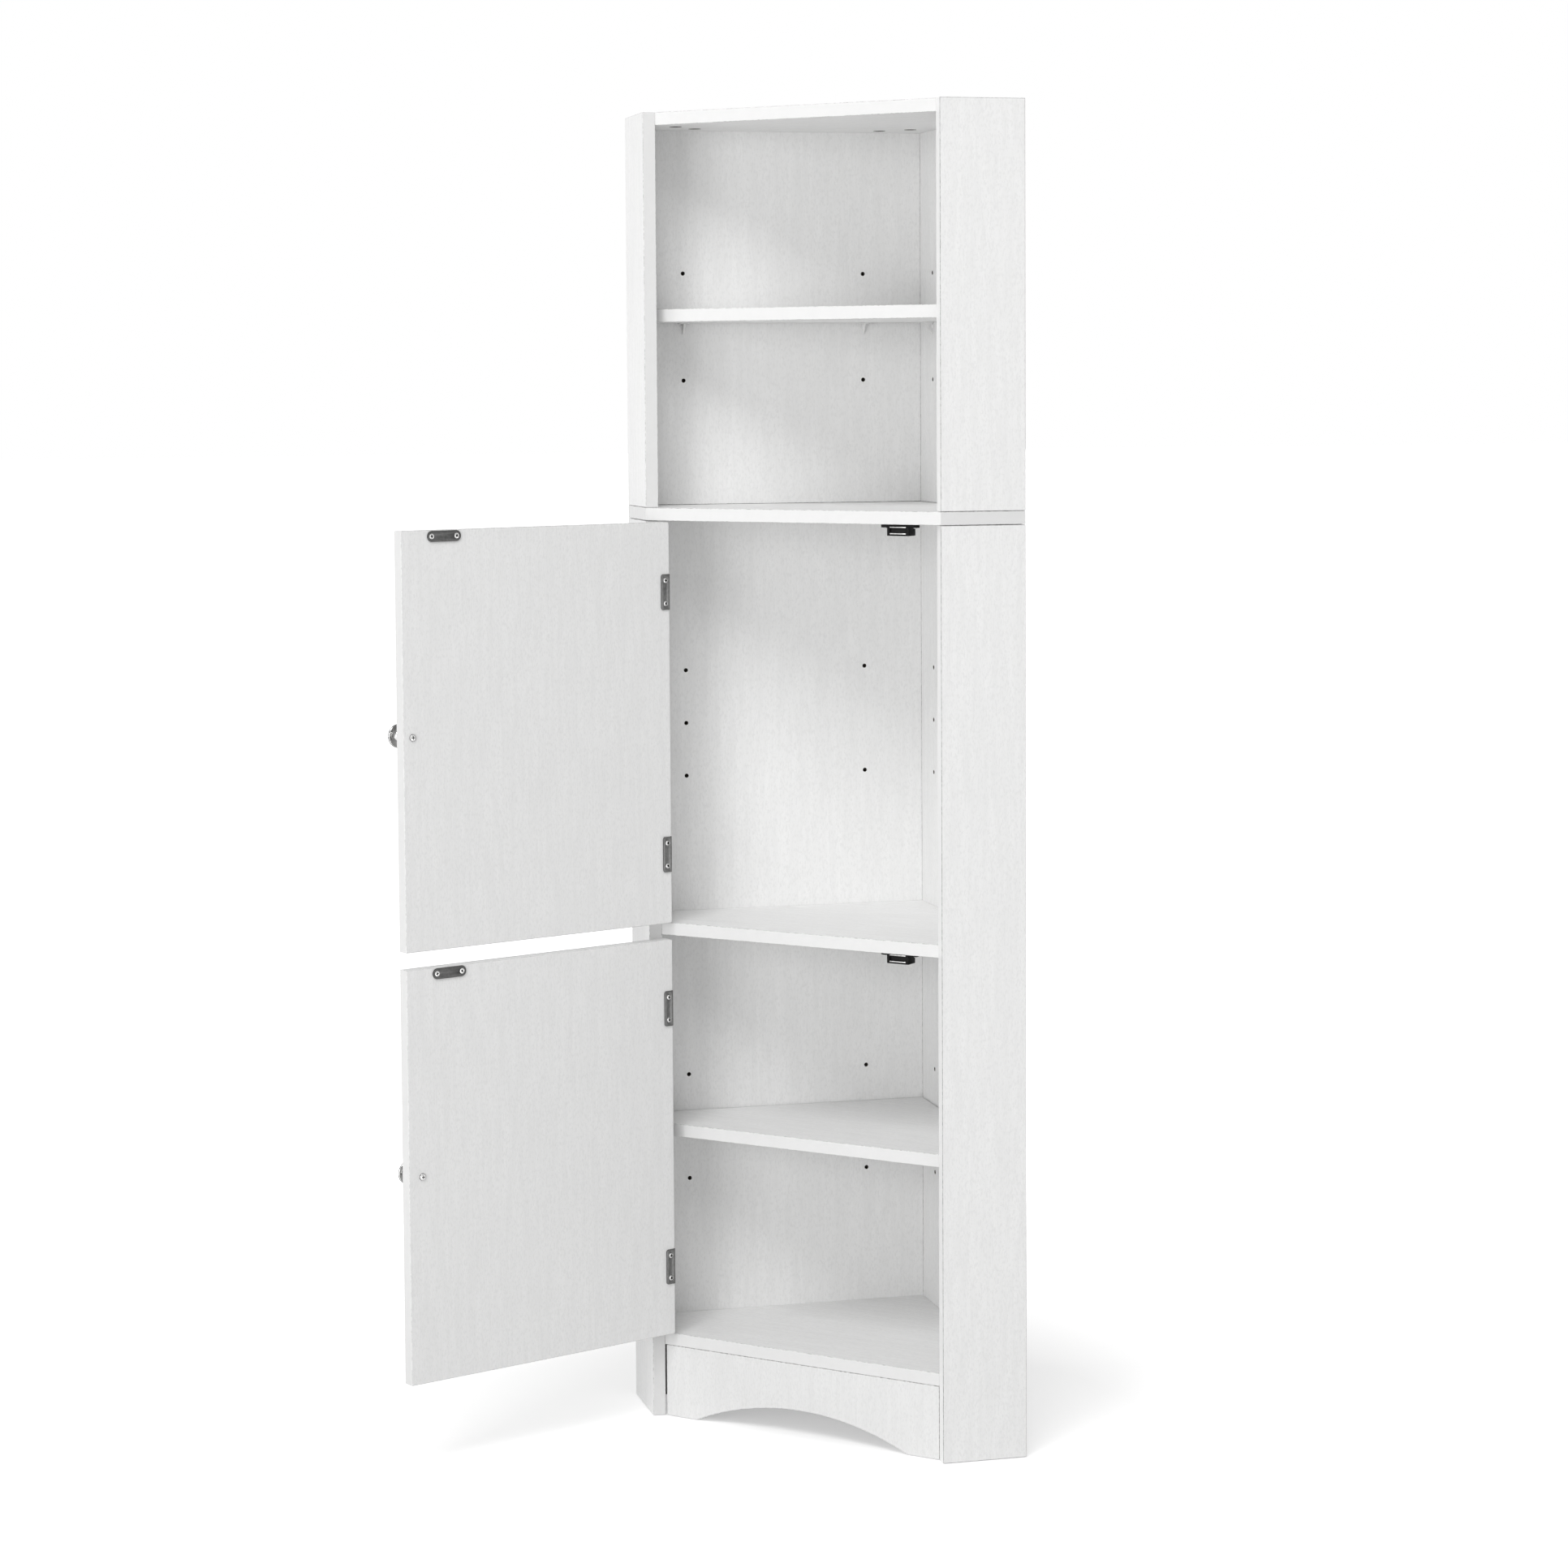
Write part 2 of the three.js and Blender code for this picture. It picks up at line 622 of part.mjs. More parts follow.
/** A door board about its hinge axis, drilled for the knob's screw and notched for the hinges. */
function doorBoard(low, high, knob, hingeHeights) {
  const board = block(point(0, doorFront, low), point(doorWidth, doorBack, high));
  const reach = HINGE_HEIGHT / 2 + FIT_GAP;
  const notches = hingeHeights.map((height) => block(
    point(-OVERRUN, doorFront - OVERRUN, height - reach),
    point(LEAF_THICKNESS + FIT_GAP, doorBack + OVERRUN, height + reach)
  ));
  const hole = bar(
    KNOB_SCREW_DIAMETER + 2 * FIT_GAP,
    point(knob.x, doorFront - OVERRUN, knob.z),
    point(knob.x, doorBack + OVERRUN, knob.z)
  );
  return cut(board, [hole, ...notches]);
}

/** A knob that stands on height zero, bored for its screw. */
function knobBody() {
  const rim = KNOB_DIAMETER / 2;
  const foot = KNOB_FOOT_DIAMETER / 2;
  const neck = KNOB_NECK_DIAMETER / 2;
  const waist = (KNOB_FOOT_HEIGHT + KNOB_RIM_HEIGHT) / 2;
  const crown = KNOB_RIM_HEIGHT + KNOB_RIM_THICKNESS;
  const outline = new THREE.Path();
  outline.moveTo(0, 0);
  outline.lineTo(foot, 0);
  outline.lineTo(foot, KNOB_FOOT_HEIGHT);
  outline.quadraticCurveTo(neck, KNOB_FOOT_HEIGHT, neck, waist);
  outline.quadraticCurveTo(neck, KNOB_RIM_HEIGHT, rim - KNOB_RIM_THICKNESS, KNOB_RIM_HEIGHT);
  outline.quadraticCurveTo(rim, KNOB_RIM_HEIGHT, rim, crown);
  outline.absellipse(0, crown, rim, KNOB_PROJECTION - crown, 0, Math.PI / 2);
  const body = turned(outline.getPoints(PROFILE_STEPS), KNOB_SIDES);
  const bore = bar(
    KNOB_SCREW_DIAMETER + 2 * FIT_GAP,
    point(0, 0, -OVERRUN),
    point(0, 0, KNOB_SCREW_GRIP + OVERRUN)
  );
  return cut(body, [bore]);
}

/** A knob screw: its head lies on height zero, facing down, and its shank runs up to the knob. */
function knobScrew() {
  const head = KNOB_SCREW_HEAD_DIAMETER / 2;
  const shank = KNOB_SCREW_DIAMETER / 2;
  const end = FIT_GAP + BOARD + FIT_GAP + KNOB_SCREW_GRIP;
  const outline = new THREE.Path();
  outline.moveTo(0, -KNOB_SCREW_HEAD_HEIGHT);
  outline.lineTo(head / 2, -KNOB_SCREW_HEAD_HEIGHT);
  outline.quadraticCurveTo(head, -KNOB_SCREW_HEAD_HEIGHT, head, 0);
  outline.lineTo(shank, 0);
  outline.lineTo(shank, end);
  outline.lineTo(0, end);
  return turned(outline.getPoints(PROFILE_STEPS), SMALL_ROUND_SIDES);
}

/** A strike plate on the inner face of a door, with two countersunk holes, about one centre. */
function strikePlate(centre) {
  const front = doorBack + FIT_GAP;
  const outline = slotShape(centre, STRIKE_LENGTH, STRIKE_WIDTH);
  const plate = uprightPlate(outline, front, STRIKE_THICKNESS, END_STEPS);
  const holes = [-1, 1].map((end) => {
    const x = centre.x + (end * STRIKE_SCREW_SPACING) / 2;
    return bar(
      STRIKE_SCREW_HOLE,
      point(x, front - OVERRUN, centre.y),
      point(x, front + STRIKE_THICKNESS + OVERRUN, centre.y)
    );
  });
  return cut(plate, holes);
}

// Catch geometry in the frame of the front line
const poleFront = BOARD + FIT_GAP + STRIKE_THICKNESS + FIT_GAP;
const catchFront = poleFront + POLE_PROJECTION;
const packHalfHeight = (POLE_SPACING + POLE_THICKNESS) / 2;
const packLow = -POLE_DROP - packHalfHeight;
const packHigh = packHalfHeight - POLE_DROP;

/** The housing of a catch about its middle, its top on height zero, with ears and a pocket. */
function catchHousing() {
  const half = CATCH_WIDTH / 2;
  const middle = catchFront + EAR_SET_BACK;
  const body = block(
    point(-half, catchFront, -CATCH_HEIGHT),
    point(half, catchFront + CATCH_DEPTH, 0)
  );
  const earOutline = slotShape(new THREE.Vector2(0, middle), EAR_SPAN, EAR_DEPTH);
  const ears = prism(earOutline, -EAR_THICKNESS, EAR_THICKNESS, END_STEPS);
  const slots = [-1, 1].map((end) => {
    const reach = (EAR_SPAN + CATCH_WIDTH) / 4;
    const slot = slotShape(new THREE.Vector2(0, 0), EAR_SLOT_LENGTH, EAR_SLOT_WIDTH);
    return prism(slot, -EAR_THICKNESS - OVERRUN, EAR_THICKNESS + 2 * OVERRUN)
      .translate(end * reach, middle, 0);
  });
  const pocketHalfWidth = POLE_WIDTH / 2 + FIT_GAP;
  const pocketEnd = poleFront + POLE_DEPTH + FIT_GAP;
  const pocket = block(
    point(-pocketHalfWidth, catchFront - OVERRUN, packLow - FIT_GAP),
    point(pocketHalfWidth, pocketEnd, packHigh + FIT_GAP)
  );
  return cut(join([body, ears]), [pocket, ...slots]);
}

/** The magnet with its two pole plates, which stand out of the housing. */
function catchMagnet() {
  const end = poleFront + POLE_DEPTH;
  const recess = poleFront + MAGNET_SET_BACK;
  const profile = polygon([
    [poleFront, packLow],
    [end, packLow],
    [end, packHigh],
    [poleFront, packHigh],
    [poleFront, packHigh - POLE_THICKNESS],
    [recess, packHigh - POLE_THICKNESS],
    [recess, packLow + POLE_THICKNESS],
    [poleFront, packLow + POLE_THICKNESS],
  ]);
  return crosswisePlate(profile, -POLE_WIDTH / 2, POLE_WIDTH);
}

/** Adds one named piece to a group. */
function add(group, name, geometry, material) {
  const mesh = new THREE.Mesh(geometry, material);
  mesh.name = name;
  group.add(mesh);
  return mesh;
}

/** The boards of the carcass that follow the walls or lie flat. */
function carcass() {
  const group = new THREE.Group();
  const doorCompartments = [COMPARTMENTS.lower, COMPARTMENTS.upper];
  for (const wall of WALLS) {
    const upperBack = back(wall, openFloor, topHeight, [COMPARTMENTS.open]);
    const upperSide = side(wall, openFloor, topHeight);
    add(group, `lower_${wall}_side`, side(wall, 0, midBoardUnderside), WHITE_BOARD);
    add(group, `lower_${wall}_back`, back(wall, 0, midBoardUnderside, doorCompartments), WHITE_BOARD);
    add(group, `upper_${wall}_side`, cut(upperSide, boltCutters(wall, "side")), WHITE_BOARD);
    add(group, `upper_${wall}_back`, cut(upperBack, boltCutters(wall, "back")), WHITE_BOARD);
  }
  add(group, "bottom_shelf", prism(innerOutline(), KICK_HEIGHT, BOARD), WHITE_BOARD);
  add(group, "middle_shelf", prism(innerOutline(), middleShelfUnderside, BOARD), WHITE_BOARD);
  add(group, "mid_board", prism(outerOutline(), midBoardUnderside, BOARD), WHITE_BOARD);
  add(group, "top_board", topBoard(), WHITE_BOARD);
  return group;
}

/** The cams and bolts that hold the top board. */
function camFittings() {
  const group = new THREE.Group();
  camJoints().forEach((joint, index) => {
    add(group, `cam_lock_${index + 1}`, camLock(joint), GREY_ZINC);
    add(group, `cam_bolt_${index + 1}`, camBolt(joint), PLATED_STEEL);
  });
  return group;
}

/** An adjustable shelf on its four pins, in the middle row of holes of a compartment. */
function shelfOnPins(name, compartment) {
  const group = new THREE.Group();
  const underside = pinRows(compartment)[1] + LEDGE_RISE;
  add(group, `${name}_adjustable_shelf`, adjustableShelf(underside), WHITE_BOARD);
  WALLS.forEach((wall, wallIndex) => {
    pinColumns(wall).forEach((along, column) => {
      const number = 2 * wallIndex + column + 1;
      const pin = add(group, `${name}_shelf_pin_${number}`, shelfPin(), WHITE_PLASTIC);
      pin.position.copy(atWall(wall, along, BOARD, underside));
      pin.rotation.z = wall === "left" ? 0 : -Math.PI / 2;
    });
  });
  return group;
}

/** What follows the slanted front: the kick board and the two catches. */
function frontFittings() {
  const group = new THREE.Group();
  group.position.copy(frontCorner);
  group.rotation.z = frontTurn;
  add(group, "kick_board", kickBoard(), WHITE_BOARD);
  const places = {
    upper: point(frontWidth - UPPER_CATCH_INSET, 0, midBoardUnderside),
    lower: point(frontWidth - LOWER_CATCH_INSET, 0, middleShelfUnderside),
  };
  for (const [name, place] of Object.entries(places)) {
    add(group, `${name}_catch_housing`, catchHousing(), BLACK_PLASTIC).position.copy(place);
    add(group, `${name}_catch_magnet`, catchMagnet(), PLATED_STEEL).position.copy(place);
  }
  return group;
}

/** A door with its knob, strike plate and hinges, turned open about its hinge axis. */
function doorAssembly(name, compartment, gap, knobInset, knobRise) {
  const low = compartment.floor + gap;
  const high = compartment.floor + compartment.height - gap;
  const knobPlace = point(doorWidth - knobInset, 0, (low + high) / 2 + knobRise);
  const strikeCentre = new THREE.Vector2(doorWidth - STRIKE_INSET, high - STRIKE_DROP);
  const hingeHeights = { bottom: low + HINGE_INSET, top: high - HINGE_INSET };

  const door = new THREE.Group();
  door.position.copy(hingeAxis());
  door.rotation.z = frontTurn - OPEN_ANGLE;
  const board = doorBoard(low, high, knobPlace, Object.values(hingeHeights));
  add(door, `${name}_door`, board, WHITE_BOARD);
  add(door, `${name}_strike_plate`, strikePlate(strikeCentre), PLATED_STEEL);

  const knob = add(door, `${name}_knob`, knobBody(), BRIGHT_NICKEL);
  knob.position.copy(knobPlace).setY(doorFront - FIT_GAP);
  knob.rotation.x = Math.PI / 2;
  const screw = add(door, `${name}_knob_screw`, knobScrew(), BRIGHT_NICKEL);
  screw.position.copy(knobPlace).setY(doorBack + FIT_GAP);
  screw.rotation.x = Math.PI / 2;

  const frame = new THREE.Group();
  frame.position.copy(hingeAxis());
  for (const [end, height] of Object.entries(hingeHeights)) {
    const hinge = `${name}_door_${end}_hinge`;
    add(door, `${hinge}_door_leaf`, doorLeaf(), PLATED_STEEL).position.z = height;
    add(frame, `${hinge}_frame_leaf`, frameLeaf(), PLATED_STEEL).position.z = height;
    add(frame, `${hinge}_pin`, hingePin(), PLATED_STEEL).position.z = height;
  }
  const group = new THREE.Group();
  group.add(door, frame);
  return group;
}

/** The whole cupboard. */
function cornerCupboard() {
  const cupboard = new THREE.Group();
  cupboard.name = "corner_cupboard";
  cupboard.add(
    carcass(),
    camFittings(),
    shelfOnPins("lower", COMPARTMENTS.lower),
    shelfOnPins("upper", COMPARTMENTS.open),
    frontFittings(),
    doorAssembly("upper", COMPARTMENTS.upper, UPPER_DOOR_GAP, UPPER_KNOB_INSET, UPPER_KNOB_RISE),
    doorAssembly("lower", COMPARTMENTS.lower, LOWER_DOOR_GAP, LOWER_KNOB_INSET, LOWER_KNOB_RISE)
  );
  return cupboard;
}

export default cornerCupboard();
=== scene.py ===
"""Blender scene of a white corner cupboard: boards, fittings, finishes, light and camera.

Forms are worked out in millimetres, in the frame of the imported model: the origin is on
the floor in the rear corner, X runs back along the left wall and Y along the right wall,
so the cupboard lies at negative X and Y. A form turns into metres when it becomes a piece.
"""

from __future__ import annotations

import logging
import math
import sys
from collections.abc import Callable, Iterable, Sequence
from dataclasses import dataclass
from enum import Enum, IntEnum

import bmesh
import bpy
from mathutils import Matrix, Vector


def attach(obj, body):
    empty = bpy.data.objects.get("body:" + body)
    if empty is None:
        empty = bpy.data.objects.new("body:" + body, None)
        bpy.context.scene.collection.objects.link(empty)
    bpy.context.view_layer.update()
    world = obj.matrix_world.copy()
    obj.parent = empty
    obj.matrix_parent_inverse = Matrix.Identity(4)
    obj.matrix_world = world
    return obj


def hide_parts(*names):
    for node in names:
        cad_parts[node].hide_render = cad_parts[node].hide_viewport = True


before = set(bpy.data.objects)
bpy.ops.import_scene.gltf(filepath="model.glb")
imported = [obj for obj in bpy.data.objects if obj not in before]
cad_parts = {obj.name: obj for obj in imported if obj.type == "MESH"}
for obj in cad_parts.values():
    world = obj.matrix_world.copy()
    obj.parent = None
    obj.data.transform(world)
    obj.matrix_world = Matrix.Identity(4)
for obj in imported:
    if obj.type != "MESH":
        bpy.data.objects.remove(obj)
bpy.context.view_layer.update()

LOG = logging.getLogger("corner_cupboard")
METRES = 0.001
QUARTER = math.pi / 2

# In millimetres: how far a cutter goes past a face, what counts as touching, what is welded.
OVERRUN = 1.0
TOUCH = 0.01
WELD = 0.0005
ENDS = (-1, 1)

# How far a face points along an axis: as good as wholly, at most by half, hardly.
FLAT = 0.97
TILTED = 0.5
EDGEWISE = 0.3

Pair = tuple[float, float]
Triple = tuple[float, float, float]
Socket = bpy.types.NodeSocket
Material = bpy.types.Material
Piece = bpy.types.Object

RISING: Pair = (0.0, 1.0)
FALLING: Pair = (1.0, 0.0)
EVEN: Triple = (1, 1, 1)


class Wall(Enum):
    """The wall that a board or a shelf pin is on."""

    LEFT = "left"
    RIGHT = "right"

    @property
    def along(self) -> Triple:
        """The direction along the wall."""
        return (1, 0, 0) if self is Wall.LEFT else (0, 1, 0)

    @property
    def across(self) -> Triple:
        """The direction towards the wall."""
        return (0, 1, 0) if self is Wall.LEFT else (1, 0, 0)


class Grain(Enum):
    """The way the embossed grain of a board runs."""

    UPRIGHT = "upright"
    ALONG_FRONT = "along_front"

    def drawn(self, stretch: float) -> tuple[float, Triple]:
        """The turn about the upright and the stretch that draw a pattern out along the grain."""
        return (0.0, (1, 1, stretch)) if self is Grain.UPRIGHT else (-QUARTER / 2, (stretch, 1, 1))


class Body(Enum):
    """The bodies of the cupboard that move as one."""

    CARCASS = "carcass"
    UPPER_DOOR = "upper_door"
    LOWER_DOOR = "lower_door"


class Face(IntEnum):
    """The places of the finishes in a board's list of materials."""

    LAMINATE = 0
    BAND = 1
    CORE = 2
    SEAM = 3
    FRONT = 4


class Sides(IntEnum):
    """How many sides a round shape has."""

    RECESS = 24
    HOLE = 28
    PIN = 32
    SINK = 36
    SCREW = 40
    CAM = 48
    KNOB = 72


# Finishes


@dataclass(frozen=True)
class Noise:
    """A noise: how often it turns over in a metre, its finer layers and their weight."""

    per_metre: float
    detail: float = 2.0
    rough: float = 0.5


class Graph:
    """The nodes of a material or of the world, with short calls that add and join them."""

    def __init__(self, owner: Material | bpy.types.World) -> None:
        """Starts with the owner's own nodes.

        Args:
            owner: The material or the world.
        """
        owner.use_nodes = True
        self.owner = owner
        self.tree = owner.node_tree
        self.shader = self.tree.nodes.get("Principled BSDF")

    def fill(self, node: bpy.types.Node, inputs: dict[str | int, object]) -> None:
        """Joins or sets the inputs of a node.

        Args:
            node: The node.
            inputs: The sockets or values that go in, by the input's name or place.
        """
        for name, value in inputs.items():
            if isinstance(value, Socket):
                self.tree.links.new(value, node.inputs[name])
            else:
                node.inputs[name].default_value = value

    def add(
        self, kind: str, output: str | int, inputs: dict[str | int, object] | None = None,
        **settings: object,
    ) -> Socket:
        """Adds a node.

        Args:
            kind: The node's type, after the words that all types begin with.
            output: The name or place of the output that is wanted.
            inputs: The sockets or values that go in, by the input's name or place.
            settings: Properties of the node, by name.

        Returns:
            The output.
        """
        node = self.tree.nodes.new(f"ShaderNode{kind}")
        for name, value in settings.items():
            setattr(node, name, value)
        self.fill(node, inputs or {})
        return node.outputs[output]

    def noise(self, noise: Noise, turned: float = 0.0, stretch: Triple = EVEN) -> Socket:
        """Noise on the object coordinates.

        Args:
            noise: The kind of noise.
            turned: The angle that it is turned about the upright.
            stretch: How far it is drawn out along each turned axis.

        Returns:
            The noise, from 0 to 1.
        """
        where = self.add("Mapping", "Vector", {
            "Vector": self.add("TexCoord", "Object"), "Rotation": (0, 0, turned), "Scale": stretch,
        }, vector_type="TEXTURE")
        return self.add("TexNoise", "Fac", {
            "Vector": where, "Scale": noise.per_metre, "Detail": noise.detail,
            "Roughness": noise.rough,
        })

    def spread(self, value: Socket, source: Pair, result: Pair = RISING) -> Socket:
        """Maps a range of values to another range, held at its ends.

        Args:
            value: The value to map.
            source: The range that it comes from.
            result: The range that it goes to.

        Returns:
            The mapped value.
        """
        return self.add("MapRange", "Result", {
            "Value": value, "From Min": source[0], "From Max": source[1],
            "To Min": result[0], "To Max": result[1],
        })

    def blend(self, share: Socket, first: Socket | Triple, second: Triple) -> Socket:
        """Blends two colours.

        Args:
            share: The share of the second colour.
            first: The first colour, or a socket that holds it.
            second: The second colour.

        Returns:
            The blended colour.
        """
        start = (*first, 1) if isinstance(first, tuple) else first
        inputs = {"Factor": share, "A": start, "B": (*second, 1)}
        return self.add("Mix", "Result", inputs, data_type="RGBA")

    def relief(
        self, height: Socket, depth: float, strength: float, over: Socket | None = None
    ) -> Socket:
        """Relief from a height, on top of another relief if there is one.

        Args:
            height: The height, from 0 to 1.
            depth: The height of the relief in metres.
            strength: How much the relief shows.
            over: The relief below it.

        Returns:
            The bent normal.
        """
        below = {} if over is None else {"Normal": over}
        inputs = {"Height": height, "Distance": depth, "Strength": strength, **below}
        return self.add("Bump", "Normal", inputs)

    def wear(self, colour: Socket, roughness: Socket, normal: Socket) -> Material:
        """Joins a finish to the shader.

        Args:
            colour: The base colour.
            roughness: The roughness.
            normal: The bent normal.

        Returns:
            The finished material.
        """
        self.fill(self.shader, {"Base Color": colour, "Roughness": roughness, "Normal": normal})
        return self.owner

    def seen(self) -> Socket:
        """Whether a ray comes from the camera, or shows in gloss or through glass.

        Returns:
            The answer, 0 or 1.
        """
        answer = self.add("LightPath", "Is Camera Ray")
        for name in ("Is Glossy Ray", "Is Transmission Ray"):
            inputs = {0: answer, 1: self.add("LightPath", name)}
            answer = self.add("Math", 0, inputs, operation="MAXIMUM")
        return answer


def scaled(colour: Triple, share: float) -> Triple:
    """A colour made lighter or darker by a share."""
    return (colour[0] * share, colour[1] * share, colour[2] * share)


@dataclass(frozen=True, kw_only=True)
class Laminate:
    """White decor paper on a board, with streaks and fine pores pressed along the grain."""

    name: str
    grain: Grain = Grain.UPRIGHT
    colour: Triple = (0.86, 0.86, 0.857)
    streaks: Noise = Noise(165.0, 5.0, 0.62)
    streak_stretch: float = 11.0
    streak_bounds: Pair = (0.64, 0.36)
    streak_shade: float = 0.95
    streak_relief: float = 0.3
    pores: Noise = Noise(560.0)
    pore_stretch: float = 2.4
    pore_bounds: Pair = (0.48, 0.68)
    pore_cover: float = 0.8
    pore_shade: float = 0.89
    pore_relief: float = 0.4
    clouds: Noise = Noise(420.0)
    cloud_bounds: Pair = (0.40, 0.70)
    cloud_cover: float = 0.35
    cloud_shade: float = 0.955
    depth: float = 0.00008
    gloss_bounds: Pair = (0.3, 0.7)
    roughness: Pair = (0.52, 0.40)

    def material(self) -> Material:
        """Makes the material.

        Returns:
            The material.
        """
        graph = Graph(bpy.data.materials.new(self.name))
        streak = graph.noise(self.streaks, *self.grain.drawn(self.streak_stretch))
        pressed = graph.noise(self.pores, *self.grain.drawn(self.pore_stretch))
        pore = graph.spread(pressed, self.pore_bounds)
        cloud = graph.noise(self.clouds)
        colour: Socket | Triple = self.colour
        for share, shade in (
            (graph.spread(streak, self.streak_bounds), self.streak_shade),
            (graph.spread(pore, RISING, (0.0, self.pore_cover)), self.pore_shade),
            (graph.spread(cloud, self.cloud_bounds, (0.0, self.cloud_cover)), self.cloud_shade),
        ):
            colour = graph.blend(share, colour, scaled(self.colour, shade))
        normal = graph.relief(graph.spread(pore, RISING, FALLING), self.depth, self.pore_relief)
        normal = graph.relief(streak, self.depth, self.streak_relief, normal)
        return graph.wear(colour, graph.spread(streak, self.gloss_bounds, self.roughness), normal)


@dataclass(frozen=True, kw_only=True)
class Mottled:
    """A finish in two colours that clouds mix, with gloss and relief from a finer grain.

    The second colour may be a share of the first, and the gloss may follow a noise of its own.
    """

    name: str
    colour: Triple
    second: Triple | float
    clouds: Noise
    bounds: Pair
    cover: float = 1.0
    grain: Noise
    stretch: Triple = EVEN
    depth: float
    relief: float
    rub: Noise | None = None
    gloss_bounds: Pair = (0.3, 0.7)
    roughness: Pair
    metallic: float = 0.0
    specular: float = 0.5

    def material(self) -> Material:
        """Makes the material.

        Returns:
            The material.
        """
        graph = Graph(bpy.data.materials.new(self.name))
        graph.fill(graph.shader, {"Metallic": self.metallic, "Specular IOR Level": self.specular})
        share = graph.spread(graph.noise(self.clouds), self.bounds, (0.0, self.cover))
        by_share = isinstance(self.second, float)
        second = scaled(self.colour, self.second) if by_share else self.second
        grain = graph.noise(self.grain, stretch=self.stretch)
        rub = graph.noise(self.rub) if self.rub else grain
        return graph.wear(
            graph.blend(share, self.colour, second),
            graph.spread(rub, self.gloss_bounds, self.roughness),
            graph.relief(grain, self.depth, self.relief),
        )


@dataclass(frozen=True, kw_only=True)
class EdgeBand(Mottled):
    """The smooth white band that is glued on a board's edges."""

    second: Triple | float = 0.975
    clouds: Noise = Noise(90.0, 4.0, 0.6)
    bounds: Pair = (0.35, 0.70)
    grain: Noise = Noise(1500.0)
    depth: float = 0.00004
    relief: float = 0.3
    rub: Noise | None = Noise(90.0, 4.0, 0.6)
    roughness: Pair = (0.30, 0.40)


@dataclass(frozen=True, kw_only=True)
class GlueLineAndShade(Mottled):
    """The thin broken line where the edge band meets the laminate: a glue line with painted shade."""

    clouds: Noise = Noise(210.0, 4.0, 0.7)
    bounds: Pair = (0.42, 0.64)
    cover: float = 0.85
    grain: Noise = Noise(210.0, 4.0, 0.7)
    depth: float = 0.00008
    relief: float = 0.4
    roughness: Pair = (0.5, 0.7)


@dataclass(frozen=True, kw_only=True)
class ChipboardInShade(Mottled):
    """The pressed chips inside a drilled hole, nearly black as painted shade of the hole."""

    name: str = "chipboard_in_painted_shade"
    colour: Triple = (0.035, 0.029, 0.023)
    second: Triple | float = (0.11, 0.09, 0.068)
    clouds: Noise = Noise(700.0, 4.0, 0.7)
    bounds: Pair = (0.35, 0.65)
    grain: Noise = Noise(700.0, 4.0, 0.7)
    depth: float = 0.0004
    relief: float = 0.8
    gloss_bounds: Pair = (0.2, 0.8)
    roughness: Pair = (0.98, 0.80)


@dataclass(frozen=True, kw_only=True)
class MouldedPlastic(Mottled):
    """Moulded plastic with a faint texture and slight flow marks."""

    second: Triple | float = 0.88
    clouds: Noise = Noise(120.0, 3.0)
    bounds: Pair = (0.35, 0.65)
    grain: Noise = Noise(1300.0)
    depth: float = 0.00006
    relief: float = 0.5


@dataclass(frozen=True, kw_only=True)
class PlatedMetal(Mottled):
    """Plated metal: turned or rolled grain in its gloss; tarnish in its colour, painted reflection on
    the knob.
    """

    clouds: Noise = Noise(260.0, 3.0, 0.6)
    bounds: Pair = (0.40, 0.68)
    cover: float = 0.8
    grain: Noise = Noise(900.0, 4.0, 0.6)
    depth: float = 0.00002
    relief: float = 0.6
    gloss_bounds: Pair = (0.25, 0.75)
    metallic: float = 1.0


